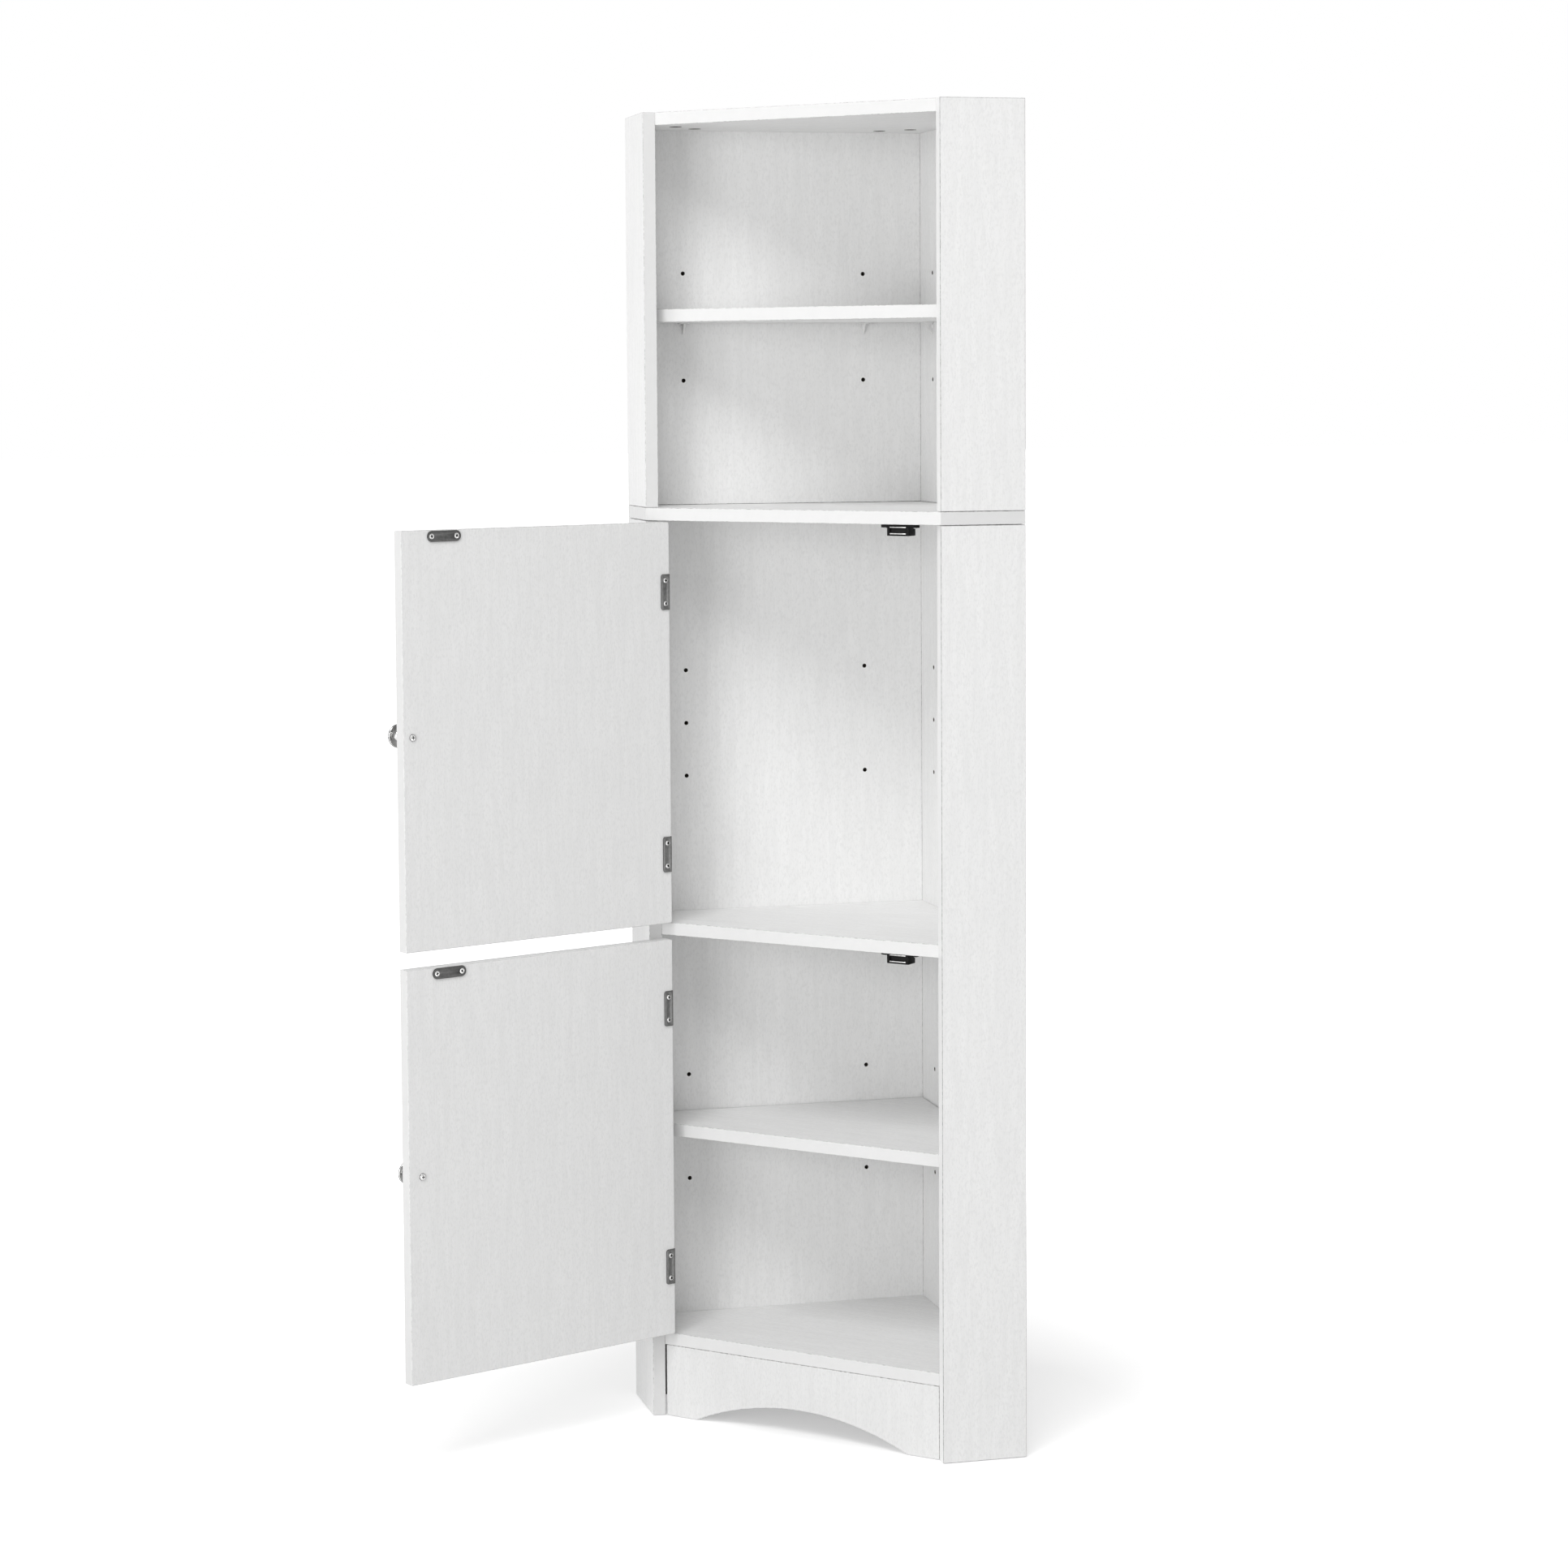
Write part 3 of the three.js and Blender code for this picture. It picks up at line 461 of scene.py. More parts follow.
FINISHES = (
    Laminate(name="white_laminate_upright"),
    Laminate(name="white_laminate_along_front", grain=Grain.ALONG_FRONT),
    # Darker copies of the white laminate, painted shade: on the right sides and the doors' inner
    # faces, darker still on the doors' outer faces and the kick board.
    Laminate(name="upright_laminate_in_painted_shade", colour=(0.83, 0.83, 0.827)),
    Laminate(name="upright_laminate_in_deep_painted_shade", colour=(0.735, 0.735, 0.732)),
    EdgeBand(name="white_edge_band", colour=(0.71, 0.71, 0.707)),
    # Copies of the edge band: lighter on the right sides as painted light, darker on the doors as
    # painted shade.
    EdgeBand(name="edge_band_painted_light", colour=(0.82, 0.82, 0.817)),
    EdgeBand(name="edge_band_in_painted_shade", colour=(0.66, 0.66, 0.657)),
    ChipboardInShade(),
    GlueLineAndShade(name="glue_and_shade_line", colour=(0.74, 0.74, 0.735), second=(0.30, 0.30, 0.295)),
    GlueLineAndShade(name="faint_glue_and_shade_line", colour=(0.75, 0.75, 0.747), second=(0.56, 0.56, 0.555)),
    # On the right sides the line is darker still: painted shade along their arrises.
    GlueLineAndShade(name="right_arris_shade_line", colour=(0.42, 0.42, 0.415), second=(0.10, 0.10, 0.098)),
    MouldedPlastic(name="white_plastic", colour=(0.82, 0.82, 0.815), roughness=(0.30, 0.42)),
    MouldedPlastic(
        name="black_plastic", colour=(0.006, 0.006, 0.0062), roughness=(0.40, 0.58), specular=0.12
    ),
    MouldedPlastic(
        name="ferrite_magnet", colour=(0.010, 0.010, 0.0102), roughness=(0.45, 0.65),
        specular=0.12, grain=Noise(2200.0),
    ),
    # Black for the screws' cross recesses: painted shade.
    MouldedPlastic(
        name="recess_painted_shade", colour=(0.008, 0.008, 0.008), roughness=(0.70, 0.90),
        specular=0.1, grain=Noise(1800.0),
    ),
    PlatedMetal(
        name="leaf_steel", colour=(0.215, 0.215, 0.213), second=(0.165, 0.165, 0.163),
        roughness=(0.30, 0.46), stretch=(1, 1, 14),
    ),
    PlatedMetal(
        name="strike_steel", colour=(0.112, 0.112, 0.111), second=(0.075, 0.075, 0.074),
        roughness=(0.32, 0.50), stretch=(14, 14, 1),
    ),
    PlatedMetal(
        name="pole_steel", colour=(0.56, 0.56, 0.555), second=(0.36, 0.36, 0.355),
        roughness=(0.22, 0.36), stretch=(8, 8, 1),
    ),
    PlatedMetal(
        name="screw_steel", colour=(0.74, 0.74, 0.735), second=(0.30, 0.30, 0.295),
        roughness=(0.20, 0.34), clouds=Noise(420.0, 3.0, 0.6),
    ),
    # The dark clouds on the knob's nickel are painted reflection of dark surroundings.
    PlatedMetal(
        name="bright_nickel", colour=(0.68, 0.68, 0.675), second=(0.21, 0.21, 0.207),
        roughness=(0.07, 0.15), clouds=Noise(95.0, 3.0, 0.6), grain=Noise(420.0, 4.0, 0.6),
    ),
    # Cam zinc, darkened as painted shade of the recesses that the cams sit in.
    PlatedMetal(
        name="grey_zinc", colour=(0.105, 0.105, 0.108), second=(0.06, 0.06, 0.062),
        roughness=(0.42, 0.60), grain=Noise(1100.0, 4.0, 0.6), depth=0.00006,
    ),
    # Near black for the edges of leaves and plates and the band round the knob: painted shade and
    # reflection.
    PlatedMetal(
        name="steel_painted_shade", colour=(0.045, 0.045, 0.046), second=(0.025, 0.025, 0.026),
        roughness=(0.35, 0.55),
    ),
)


class Dress(Enum):
    """What a piece wears: a slot name, which nothing here reads, then its materials by its faces'
    numbers.
    """

    UPRIGHT = (
        "white_board", "white_laminate_upright", "white_edge_band", "chipboard_in_painted_shade", "glue_and_shade_line",
    )
    LEVEL = (
        "white_board", "white_laminate_along_front", "white_edge_band", "chipboard_in_painted_shade",
        "glue_and_shade_line",
    )
    # The right sides wear laminate and seam in painted shade and a band in painted light.
    RIGHT_SIDE = (
        "white_board", "upright_laminate_in_painted_shade", "edge_band_painted_light", "chipboard_in_painted_shade",
        "right_arris_shade_line",
    )
    # The doors wear laminates and band in painted shade.
    DOOR = (
        "white_board", "upright_laminate_in_painted_shade", "edge_band_in_painted_shade", "chipboard_in_painted_shade",
        "faint_glue_and_shade_line", "upright_laminate_in_deep_painted_shade",
    )
    # The kick board wears the darkest laminate: painted shade.
    KICK = (
        "white_board", "upright_laminate_in_deep_painted_shade", "white_edge_band", "chipboard_in_painted_shade", "glue_and_shade_line",
    )
    SHELF_PIN = ("white_plastic", "white_plastic")
    # The cams wear zinc darkened as painted shade.
    CAM = ("grey_zinc", "grey_zinc")
    CATCH_CASE = ("black_plastic", "black_plastic")
    CATCH_MAGNET = ("black_plastic", "ferrite_magnet")
    CATCH_POLE = ("plated_steel", "pole_steel")
    # Leaves, plates and knob have edges or a band of painted shade; screws a black recess of painted
    # shade.
    LEAF = ("plated_steel", "leaf_steel", "steel_painted_shade")
    STRIKE = ("plated_steel", "strike_steel", "steel_painted_shade")
    SCREW = ("plated_steel", "screw_steel", "recess_painted_shade")
    KNOB = ("bright_nickel", "bright_nickel", "steel_painted_shade")
    KNOB_SCREW = ("bright_nickel", "screw_steel", "recess_painted_shade")


# Forms


def shift(x: float, y: float, z: float) -> Matrix:
    """A move along the three axes."""
    return Matrix.Translation((x, y, z))


def turn(angle: float, axis: str) -> Matrix:
    """A turn about an axis, in radians."""
    return Matrix.Rotation(angle, 4, axis)


def edges(along: str = "", **at: float) -> Callable[[bmesh.types.BMEdge], bool]:
    """Chooses edges by their direction and by where both their ends are.

    Args:
        along: The axis that they run along, or nothing for any direction.
        at: The places that both ends have, by axis.

    Returns:
        The test of an edge.
    """

    def chosen(edge: bmesh.types.BMEdge) -> bool:
        """Tells whether an edge is one of them.

        Args:
            edge: The edge.

        Returns:
            The answer.
        """
        start, end = (vert.co for vert in edge.verts)
        way = end - start
        return (not along or abs(getattr(way, along)) > way.length - TOUCH) and all(
            abs(getattr(point, axis) - place) < TOUCH
            for point in (start, end) for axis, place in at.items()
        )

    return chosen


class Form:
    """A closed shape under construction, in millimetres."""

    def __init__(self) -> None:
        """Starts with an empty mesh."""
        self.mesh = bmesh.new()

    @classmethod
    def block(cls, low: Sequence[float], high: Sequence[float]) -> Form:
        """A block between its lowest and its highest corner.

        Args:
            low: The lowest corner.
            high: The highest corner.

        Returns:
            The form.
        """
        form = cls()
        size = Vector(high) - Vector(low)
        middle = (Vector(low) + Vector(high)) / 2
        place = shift(*middle) @ Matrix.Diagonal((*size, 1.0))
        bmesh.ops.create_cube(form.mesh, size=1.0, matrix=place)
        return form

    @classmethod
    def cross(cls, length: float, width: float, low: float, high: float) -> list[Form]:
        """Two crossed blocks, which cut a cross recess.

        Args:
            length: The length of each block.
            width: The width of each block.
            low: The height of their undersides.
            high: The height of their tops.

        Returns:
            The two blocks.
        """
        long, wide = length / 2, width / 2
        return [
            cls.block((-x, -y, low), (x, y, high)) for x, y in ((long, wide), (wide, long))
        ]

    @classmethod
    def prism(cls, outline: Sequence[Pair], low: float, high: float) -> Form:
        """A plan outline drawn straight up.

        Args:
            outline: The corners, in order.
            low: The height of its underside.
            high: The height of its top.

        Returns:
            The form.
        """
        form = cls()
        base = form.mesh.faces.new([form.mesh.verts.new((x, y, low)) for x, y in outline])
        drawn = bmesh.ops.extrude_face_region(form.mesh, geom=[base])["geom"]
        upper = [item for item in drawn if isinstance(item, bmesh.types.BMVert)]
        bmesh.ops.translate(form.mesh, verts=upper, vec=(0, 0, high - low))
        return form.outward()

    @classmethod
    def rod(
        cls, diameter: float, start: Sequence[float], end: Sequence[float],
        sides: Sides = Sides.PIN, end_diameter: float | None = None,
    ) -> Form:
        """A round rod, or a cone when its ends differ.

        Args:
            diameter: The diameter at the start.
            start: The middle of its first end.
            end: The middle of its other end.
            sides: The number of its sides.
            end_diameter: The diameter at the end, the same if not given.

        Returns:
            The form.
        """
        form = cls()
        along = Vector(end) - Vector(start)
        upright = along.to_track_quat("Z", "Y").to_matrix().to_4x4()
        bmesh.ops.create_cone(
            form.mesh, cap_ends=True, segments=sides, radius1=diameter / 2,
            radius2=(diameter if end_diameter is None else end_diameter) / 2, depth=along.length,
            matrix=shift(*(Vector(start) + Vector(end)) / 2) @ upright,
        )
        return form

    @classmethod
    def turned(cls, profile: Sequence[Pair], sides: Sides, ring: bool = False) -> Form:
        """A profile of radius and height turned round the upright.

        Args:
            profile: The points of the profile.
            sides: The number of steps round.
            ring: Whether the profile closes on itself, as that of a tube.

        Returns:
            The form.
        """
        form = cls()
        points = [form.mesh.verts.new((radius, 0, height)) for radius, height in profile]
        pairs = list(zip(points, points[1:])) + ([(points[-1], points[0])] if ring else [])
        lines = [form.mesh.edges.new(pair) for pair in pairs]
        bmesh.ops.spin(
            form.mesh, geom=points + lines, cent=(0, 0, 0), axis=(0, 0, 1), dvec=(0, 0, 0),
            angle=math.tau, steps=sides, use_merge=True,
        )
        bmesh.ops.remove_doubles(form.mesh, verts=form.mesh.verts, dist=WELD)
        return form.outward()

    @classmethod
    def together(cls, parts: Iterable[Form]) -> Form:
        """Several forms in one mesh, each still closed.

        Args:
            parts: The forms.

        Returns:
            The form that holds them all.
        """
        whole = cls()
        for part in parts:
            scratch = bpy.data.meshes.new("part")
            part.mesh.to_mesh(scratch)
            whole.mesh.from_mesh(scratch)
            bpy.data.meshes.remove(scratch)
        return whole

    def outward(self) -> Form:
        """Points all faces outwards."""
        bmesh.ops.recalc_face_normals(self.mesh, faces=self.mesh.faces)
        return self

    def copied(self) -> Form:
        """A copy of the form.

        Returns:
            The copy.
        """
        twin = Form()
        twin.mesh = self.mesh.copy()
        return twin

    def moved(self, place: Matrix) -> Form:
        """The form itself, after a move or a turn."""
        bmesh.ops.transform(self.mesh, matrix=place, verts=self.mesh.verts)
        return self

    def rounded(
        self, chosen: Callable[[bmesh.types.BMEdge], bool], radius: float, steps: int = 6
    ) -> Form:
        """Rounds the chosen edges.

        Args:
            chosen: Tells whether an edge is to be rounded.
            radius: The radius.
            steps: The number of steps round the edge.

        Returns:
            The form itself.
        """
        bmesh.ops.bevel(
            self.mesh, geom=[edge for edge in self.mesh.edges if chosen(edge)], offset=radius,
            offset_type="OFFSET", segments=steps, profile=0.5, affect="EDGES",
            clamp_overlap=True, material=-1,
        )
        return self

    def eased(self, radius: float, steps: int = 2, sharper: float = 50.0) -> Form:
        """Takes the sharpness off every edge that is sharper than an angle.

        Args:
            radius: The radius of the rounding.
            steps: The number of steps round each edge.
            sharper: The least angle between the faces, in degrees.

        Returns:
            The form itself.
        """
        least = math.radians(sharper)
        return self.rounded(
            lambda edge: len(edge.link_faces) == 2 and edge.calc_face_angle() > least, radius, steps
        )

    def painted(
        self, place: int, chosen: Callable[[bmesh.types.BMFace], bool] = lambda face: True
    ) -> Form:
        """Gives the chosen faces another of the piece's materials.

        Args:
            place: The place of the material in the piece's list.
            chosen: Tells whether a face is to be changed, all of them if not given.

        Returns:
            The form itself.
        """
        for face in filter(chosen, self.mesh.faces):
            face.material_index = place
        return self

    def cut(self, *tools: Form) -> Form:
        """Cuts other forms out of this one.

        Args:
            tools: The forms to cut away, which keep the finish of their own faces.

        Returns:
            The form itself.
        """
        body = self.on_stage("body")
        cutters = [tool.on_stage("cutter") for tool in tools]
        for cutter in cutters:
            step = body.modifiers.new("cut", "BOOLEAN")
            step.operation = "DIFFERENCE"
            step.solver = "EXACT"
            step.object = cutter
        bpy.context.view_layer.update()
        graph = bpy.context.evaluated_depsgraph_get()
        result = bpy.data.meshes.new_from_object(body.evaluated_get(graph))
        self.mesh.clear()
        self.mesh.from_mesh(result)
        for item in (body, *cutters):
            shape = item.data
            bpy.data.objects.remove(item)
            bpy.data.meshes.remove(shape)
        bpy.data.meshes.remove(result)
        return self

    def on_stage(self, name: str) -> Piece:
        """Puts the form into the scene for a modifier to use.

        Args:
            name: The object's name.

        Returns:
            The object.
        """
        mesh = bpy.data.meshes.new(name)
        for _ in Face:
            mesh.materials.append(None)
        self.mesh.to_mesh(mesh)
        return placed(name, mesh)


def placed(name: str, data: bpy.types.ID) -> Piece:
    """Puts a mesh, a lamp or a camera into the scene.

    Args:
        name: The object's name.
        data: What the object shows.

    Returns:
        The object.
    """
    item = bpy.data.objects.new(name, data)
    bpy.context.scene.collection.objects.link(item)
    return item


class Workshop:
    """Makes the finishes, turns forms into pieces of the cupboard and keeps count of them."""

    def __init__(self) -> None:
        """Makes the materials."""
        self.materials = {finish.name: finish.material() for finish in FINISHES}
        self.made = 0

    def piece(
        self, name: str, form: Form, dress: Dress, node: str = "", body: Body = Body.CARCASS,
        smooth: float = 35.0,
    ) -> None:
        """Turns a form into a piece in its place.

        Args:
            name: The piece's name.
            form: The form in millimetres, in its place.
            dress: What it wears.
            node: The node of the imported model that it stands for, if there is one.
            body: The body that it rides on.
            smooth: The angle up to which faces blend, in degrees, or 0 for flat faces.
        """
        bmesh.ops.scale(form.mesh, vec=(METRES, METRES, METRES), verts=form.mesh.verts)
        mesh = bpy.data.meshes.new(name)
        form.mesh.to_mesh(mesh)
        form.mesh.free()
        slot, *materials = dress.value
        for material in materials:
            mesh.materials.append(self.materials[material])
        if smooth:
            mesh.shade_smooth()
            mesh.set_sharp_from_angle(angle=math.radians(smooth))
        item = placed(name, mesh)
        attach(item, body.value)
        if node:
            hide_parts(node)
        self.made += 1
        LOG.info("piece %s: %d faces, on %s", name, len(mesh.polygons), body.value)

    def board(
        self, node: str, form: Form, across: Sequence[float], dress: Dress,
        cutters: Sequence[Form] = (), body: Body = Body.CARCASS, arris: float = 0.5,
    ) -> None:
        """Finishes a board: eased arrises, banded edges and drilled holes.

        Args:
            node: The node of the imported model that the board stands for.
            form: The board's form in its place.
            across: The direction through its thickness.
            dress: What it wears.
            cutters: The forms of its holes.
            body: The body that it rides on.
            arris: The radius of its arrises.
        """
        through = Vector(across).normalized()
        form.eased(arris)
        # The arrises take the seam finish: a glue line with painted shade.
        for place, least in ((Face.SEAM, FLAT), (Face.BAND, EDGEWISE)):
            form.painted(place, lambda face, least=least: abs(face.normal.dot(through)) < least)
        if cutters:
            # Holes and notches take the near-black core: painted shade.
            form.cut(*[tool.painted(Face.CORE) for tool in cutters])
        self.piece(f"{node}_board", form, dress, node, body, smooth=0.0)

    def bolts(self) -> None:
        """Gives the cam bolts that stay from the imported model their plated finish."""
        for name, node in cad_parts.items():
            if name.startswith("cam_bolt"):
                for slot in node.material_slots:
                    slot.material = self.materials["screw_steel"]


# Plan


@dataclass(frozen=True)
class Plan:
    """The sizes that the boards and the fittings share."""

    wall_width: float = 378.0
    side_depth: float = 100.0
    board: float = 15.0
    kick_height: float = 86.0
    lower_opening: float = 480.0
    upper_opening: float = 477.0
    open_section: float = 447.0
    column_inset: float = 51.0
    column_spacing: float = 224.0
    row_spacing: float = 64.0
    row_drop: float = 10.5

    @property
    def side_inner(self) -> float:
        """The distance from a wall's corner to the inner face of its side."""
        return self.wall_width - self.board

    @property
    def lower_floor(self) -> float:
        """The top of the bottom shelf."""
        return self.kick_height + self.board

    @property
    def middle_shelf(self) -> float:
        """The underside of the middle shelf."""
        return self.lower_floor + self.lower_opening

    @property
    def upper_floor(self) -> float:
        """The top of the middle shelf."""
        return self.middle_shelf + self.board

    @property
    def mid_board(self) -> float:
        """The underside of the mid board."""
        return self.upper_floor + self.upper_opening

    @property
    def open_floor(self) -> float:
        """The top of the mid board."""
        return self.mid_board + self.board

    @property
    def top_board(self) -> float:
        """The underside of the top board."""
        return self.open_floor + self.open_section

    @property
    def top(self) -> float:
        """The height of the cupboard."""
        return self.top_board + self.board

    @property
    def front_width(self) -> float:
        """The width of the front line between the two sides."""
        return math.sqrt(2) * (self.side_inner - self.side_depth)

    @property
    def corner(self) -> Vector:
        """The plan place where the front line meets the left side's inner face."""
        return Vector((-self.side_inner, -self.side_depth, 0))

    @property
    def front(self) -> Matrix:
        """The frame of the front line: X along it, Y into the cupboard."""
        return shift(*self.corner) @ turn(-QUARTER / 2, "Z")

    def at_wall(self, wall: Wall, along: float, out: float, height: float) -> Vector:
        """A point from its distance along a wall, out from it and up.

        Args:
            wall: The wall.
            along: The distance from the rear corner along the wall.
            out: The distance from the wall.
            height: The height.

        Returns:
            The point.
        """
        x, y = (-along, -out) if wall is Wall.LEFT else (-out, -along)
        return Vector((x, y, height))

    def wall_block(self, wall: Wall, along: Pair, out: Pair, heights: Pair) -> Form:
        """A block that follows a wall.

        Args:
            wall: The wall.
            along: Its two distances from the rear corner.
            out: Its two distances from the wall.
            heights: Its two heights.

        Returns:
            The form.
        """
        low = self.at_wall(wall, max(along), max(out), min(heights))
        high = self.at_wall(wall, min(along), min(out), max(heights))
        return Form.block(low, high)

    def inner_outline(self, gap: float = 0.0, set_back: float = 0.0) -> list[Pair]:
        """The outline of a board between the sides and the backs.

        Args:
            gap: The gap to the sides and the backs.
            set_back: How far its front stands back.

        Returns:
            The five corners.
        """
        far, near = self.side_inner - gap, self.board + gap
        front = self.side_inner + self.side_depth - math.sqrt(2) * set_back - far
        return [(-far, -near), (-far, -front), (-front, -far), (-near, -far), (-near, -near)]

    def outer_outline(self) -> list[Pair]:
        """The outline of the board that covers the lower sides and backs."""
        wide, deep = self.wall_width, self.side_depth
        return [(0, 0), (-wide, 0), (-wide, -deep), (-deep, -wide), (0, -wide)]

    def rows(self, floor: float, height: float) -> list[float]:
        """The heights of a compartment's three rows of pin holes, from the top down.

        Args:
            floor: The height of the compartment's floor.
            height: The compartment's clear height.

        Returns:
            The three heights.
        """
        middle = floor + height / 2 - self.row_drop
        return [middle + self.row_spacing, middle, middle - self.row_spacing]

    def columns(self, wall: Wall) -> list[float]:
        """The distances along a wall of its two columns of pin holes.

        Args:
            wall: The wall.

        Returns:
            The two distances, from left to right as seen from the front.
        """
        if wall is Wall.LEFT:
            first = self.side_inner - self.column_inset
            return [first, first - self.column_spacing]
        first = self.board + self.column_inset
        return [first, first + self.column_spacing]


# Small fittings


@dataclass(frozen=True)
class Screw:
    """A screw with a raised countersunk head and a cross recess, its face on height zero."""

    head: float = 5.9
    crown: float = 0.75
    sink: float = 0.6
    shank: float = 2.9
    length: float = 6.0
    point: float = 1.0
    tip: float = 0.8
    recess: float = 3.4
    blade: float = 1.15
    recess_depth: float = 1.15
    recess_corner: float = 0.25
    bowl: Pair = (0.9, 2.7)
    above: float = 0.5
    dome_angles: tuple[float, ...] = (70, 50, 34, 20, 8, 0)

    def form(self) -> Form:
        """The form of the screw, pointing down, its recess in the second finish: black painted shade.

        Returns:
            The form.
        """
        rim, shank = self.head / 2, self.shank / 2
        low, top = self.crown - self.recess_depth, self.crown + self.above
        dome = [
            (rim * math.cos(angle), self.crown * math.sin(angle))
            for angle in map(math.radians, self.dome_angles)
        ]
        profile = [
            (0, self.crown), *dome, (shank, -self.sink), (shank, self.point - self.length),
            (self.tip / 2, -self.length), (0, -self.length),
        ]
        blades = [
            blade.rounded(edges(z=low), self.recess_corner, steps=2)
            for blade in Form.cross(self.recess, self.blade, low, top)
        ]
        bowl = Form.rod(self.bowl[0], (0, 0, low), (0, 0, top), Sides.RECESS, self.bowl[1])
        # The recess faces take the second finish: black painted shade.
        tools = [tool.painted(1) for tool in (*blades, bowl)]
        return Form.turned(profile, Sides.SCREW).cut(*tools)


@dataclass
class ShelfPin:
    """A shelf pin: a peg, a flat ledge and a triangular web below the ledge."""

    shop: Workshop
    width: float = 12.5
    depth: float = 11.0
    thickness: float = 1.5
    corner: float = 2.0
    rise: float = 5.0
    web: float = 2.6
    web_height: float = 12.5
    nose: float = 1.5
    peg: float = 4.4
    peg_length: float = 9.0
    peg_ease: float = 0.5
    flange: float = 7.0
    flange_depth: float = 1.0
    flange_ease: float = 0.3
    ease: float = 0.25

    def form(self) -> Form:
        """The form of a pin on the left wall, its ledge on height zero.

        Returns:
            The form.
        """
        half, deep, thick = self.width / 2, self.depth, self.thickness
        ledge = Form.block((-half, -deep, -thick), (half, 0, 0))
        ledge.rounded(edges("z", y=-deep), self.corner).eased(self.ease)
        low, end = -thick - self.web_height, self.nose - deep
        outline = [(0, -thick / 2), (0, low), (-self.nose, low), (end, -thick), (end, -thick / 2)]
        upright = turn(QUARTER, "Z") @ turn(QUARTER, "X")
        web = Form.prism(outline, -self.web / 2, self.web / 2).moved(upright)
        peg = Form.rod(self.peg, (0, -thick, -self.rise), (0, self.peg_length, -self.rise))
        flange = Form.rod(
            self.flange, (0, -self.flange_depth, -self.rise), (0, 0, -self.rise), Sides.SCREW
        )
        return Form.together([
            ledge, web.eased(self.ease, sharper=30), flange.eased(self.flange_ease),
            peg.eased(self.peg_ease, steps=3),
        ])

    def build(self, node: str, place: Vector, wall: Wall) -> None:
        """Puts a pin on a wall.

        Args:
            node: The node that it stands for.
            place: The middle of its ledge's top at the back.
            wall: The wall.
        """
        facing = turn(0.0 if wall is Wall.LEFT else -QUARTER, "Z")
        form = self.form().moved(shift(*place) @ facing)
        self.shop.piece(f"{node}_moulding", form, Dress.SHELF_PIN, node, smooth=40.0)


@dataclass
class CamLocks:
    """The cam locks in the underside of a board, one at each end of its sides and backs."""

    shop: Workshop
    plan: Plan
    diameter: float = 15.0
    depth: float = 12.5
    edge_inset: float = 30.0
    end_inset: float = 60.0
    sunk: float = 1.0
    gap: float = 0.3
    cross_length: float = 9.0
    cross_width: float = 1.7
    cross_depth: float = 2.2
    dish: float = 10.6
    dish_depth: float = 0.7
    mouth: float = 6.6
    ease: float = 0.5

    def places(self) -> list[tuple[Vector, Vector]]:
        """The plan places of the cams.

        Returns:
            For each cam its middle and the direction to its bolt's panel.
        """
        plan = self.plan
        out = plan.board + self.edge_inset
        found = []
        for wall in Wall:
            for along in (plan.board + self.end_inset, plan.side_inner - self.end_inset):
                found.append((plan.at_wall(wall, along, out, 0), Vector(wall.across)))
            side_cam = plan.at_wall(
                wall, plan.side_inner - self.edge_inset, plan.board + self.end_inset, 0
            )
            found.append((side_cam, -Vector(wall.along)))
        return found

    def recesses(self, underside: float) -> Form:
        """The cutters of the recesses.

        Args:
            underside: The height of the board's underside.

        Returns:
            One form that holds them all.
        """
        return Form.together(
            Form.rod(
                self.diameter, (place.x, place.y, underside - OVERRUN),
                (place.x, place.y, underside + self.depth), Sides.CAM,
            )
            for place, _ in self.places()
        )

    def cam(self) -> Form:
        """The form of one cam, its face on height zero and its mouth towards +X.

        Returns:
            The form.
        """
        high = self.depth - self.gap - self.sunk
        body = Form.rod(self.diameter - 2 * self.gap, (0, 0, 0), (0, 0, high), Sides.CAM)
        slots = Form.cross(self.cross_length, self.cross_width, -OVERRUN, self.cross_depth)
        dish = Form.rod(self.dish, (0, 0, -OVERRUN / 2), (0, 0, self.dish_depth), Sides.SCREW)
        mouth = Form.rod(self.mouth, (0, 0, high / 2), (self.diameter, 0, high / 2), Sides.HOLE)
        return body.eased(self.ease).cut(dish, *slots).cut(mouth)

    def build(self, prefix: str, underside: float, node: str = "") -> None:
        """Puts the cams in a board.

        Args:
            prefix: The start of the pieces' names.
            underside: The height of the board's underside.
            node: The start of the names of the nodes that they stand for, if there are any.
        """
        cam = self.cam()
        for number, (place, towards) in enumerate(self.places(), 1):
            facing = turn(math.atan2(towards.y, towards.x), "Z")
            form = cam.copied().moved(shift(place.x, place.y, underside + self.sunk) @ facing)
            # The cams wear zinc darkened as painted shade of their recesses.
            self.shop.piece(f"{prefix}_{number}", form, Dress.CAM, node and f"{node}_{number}")


# Carcass


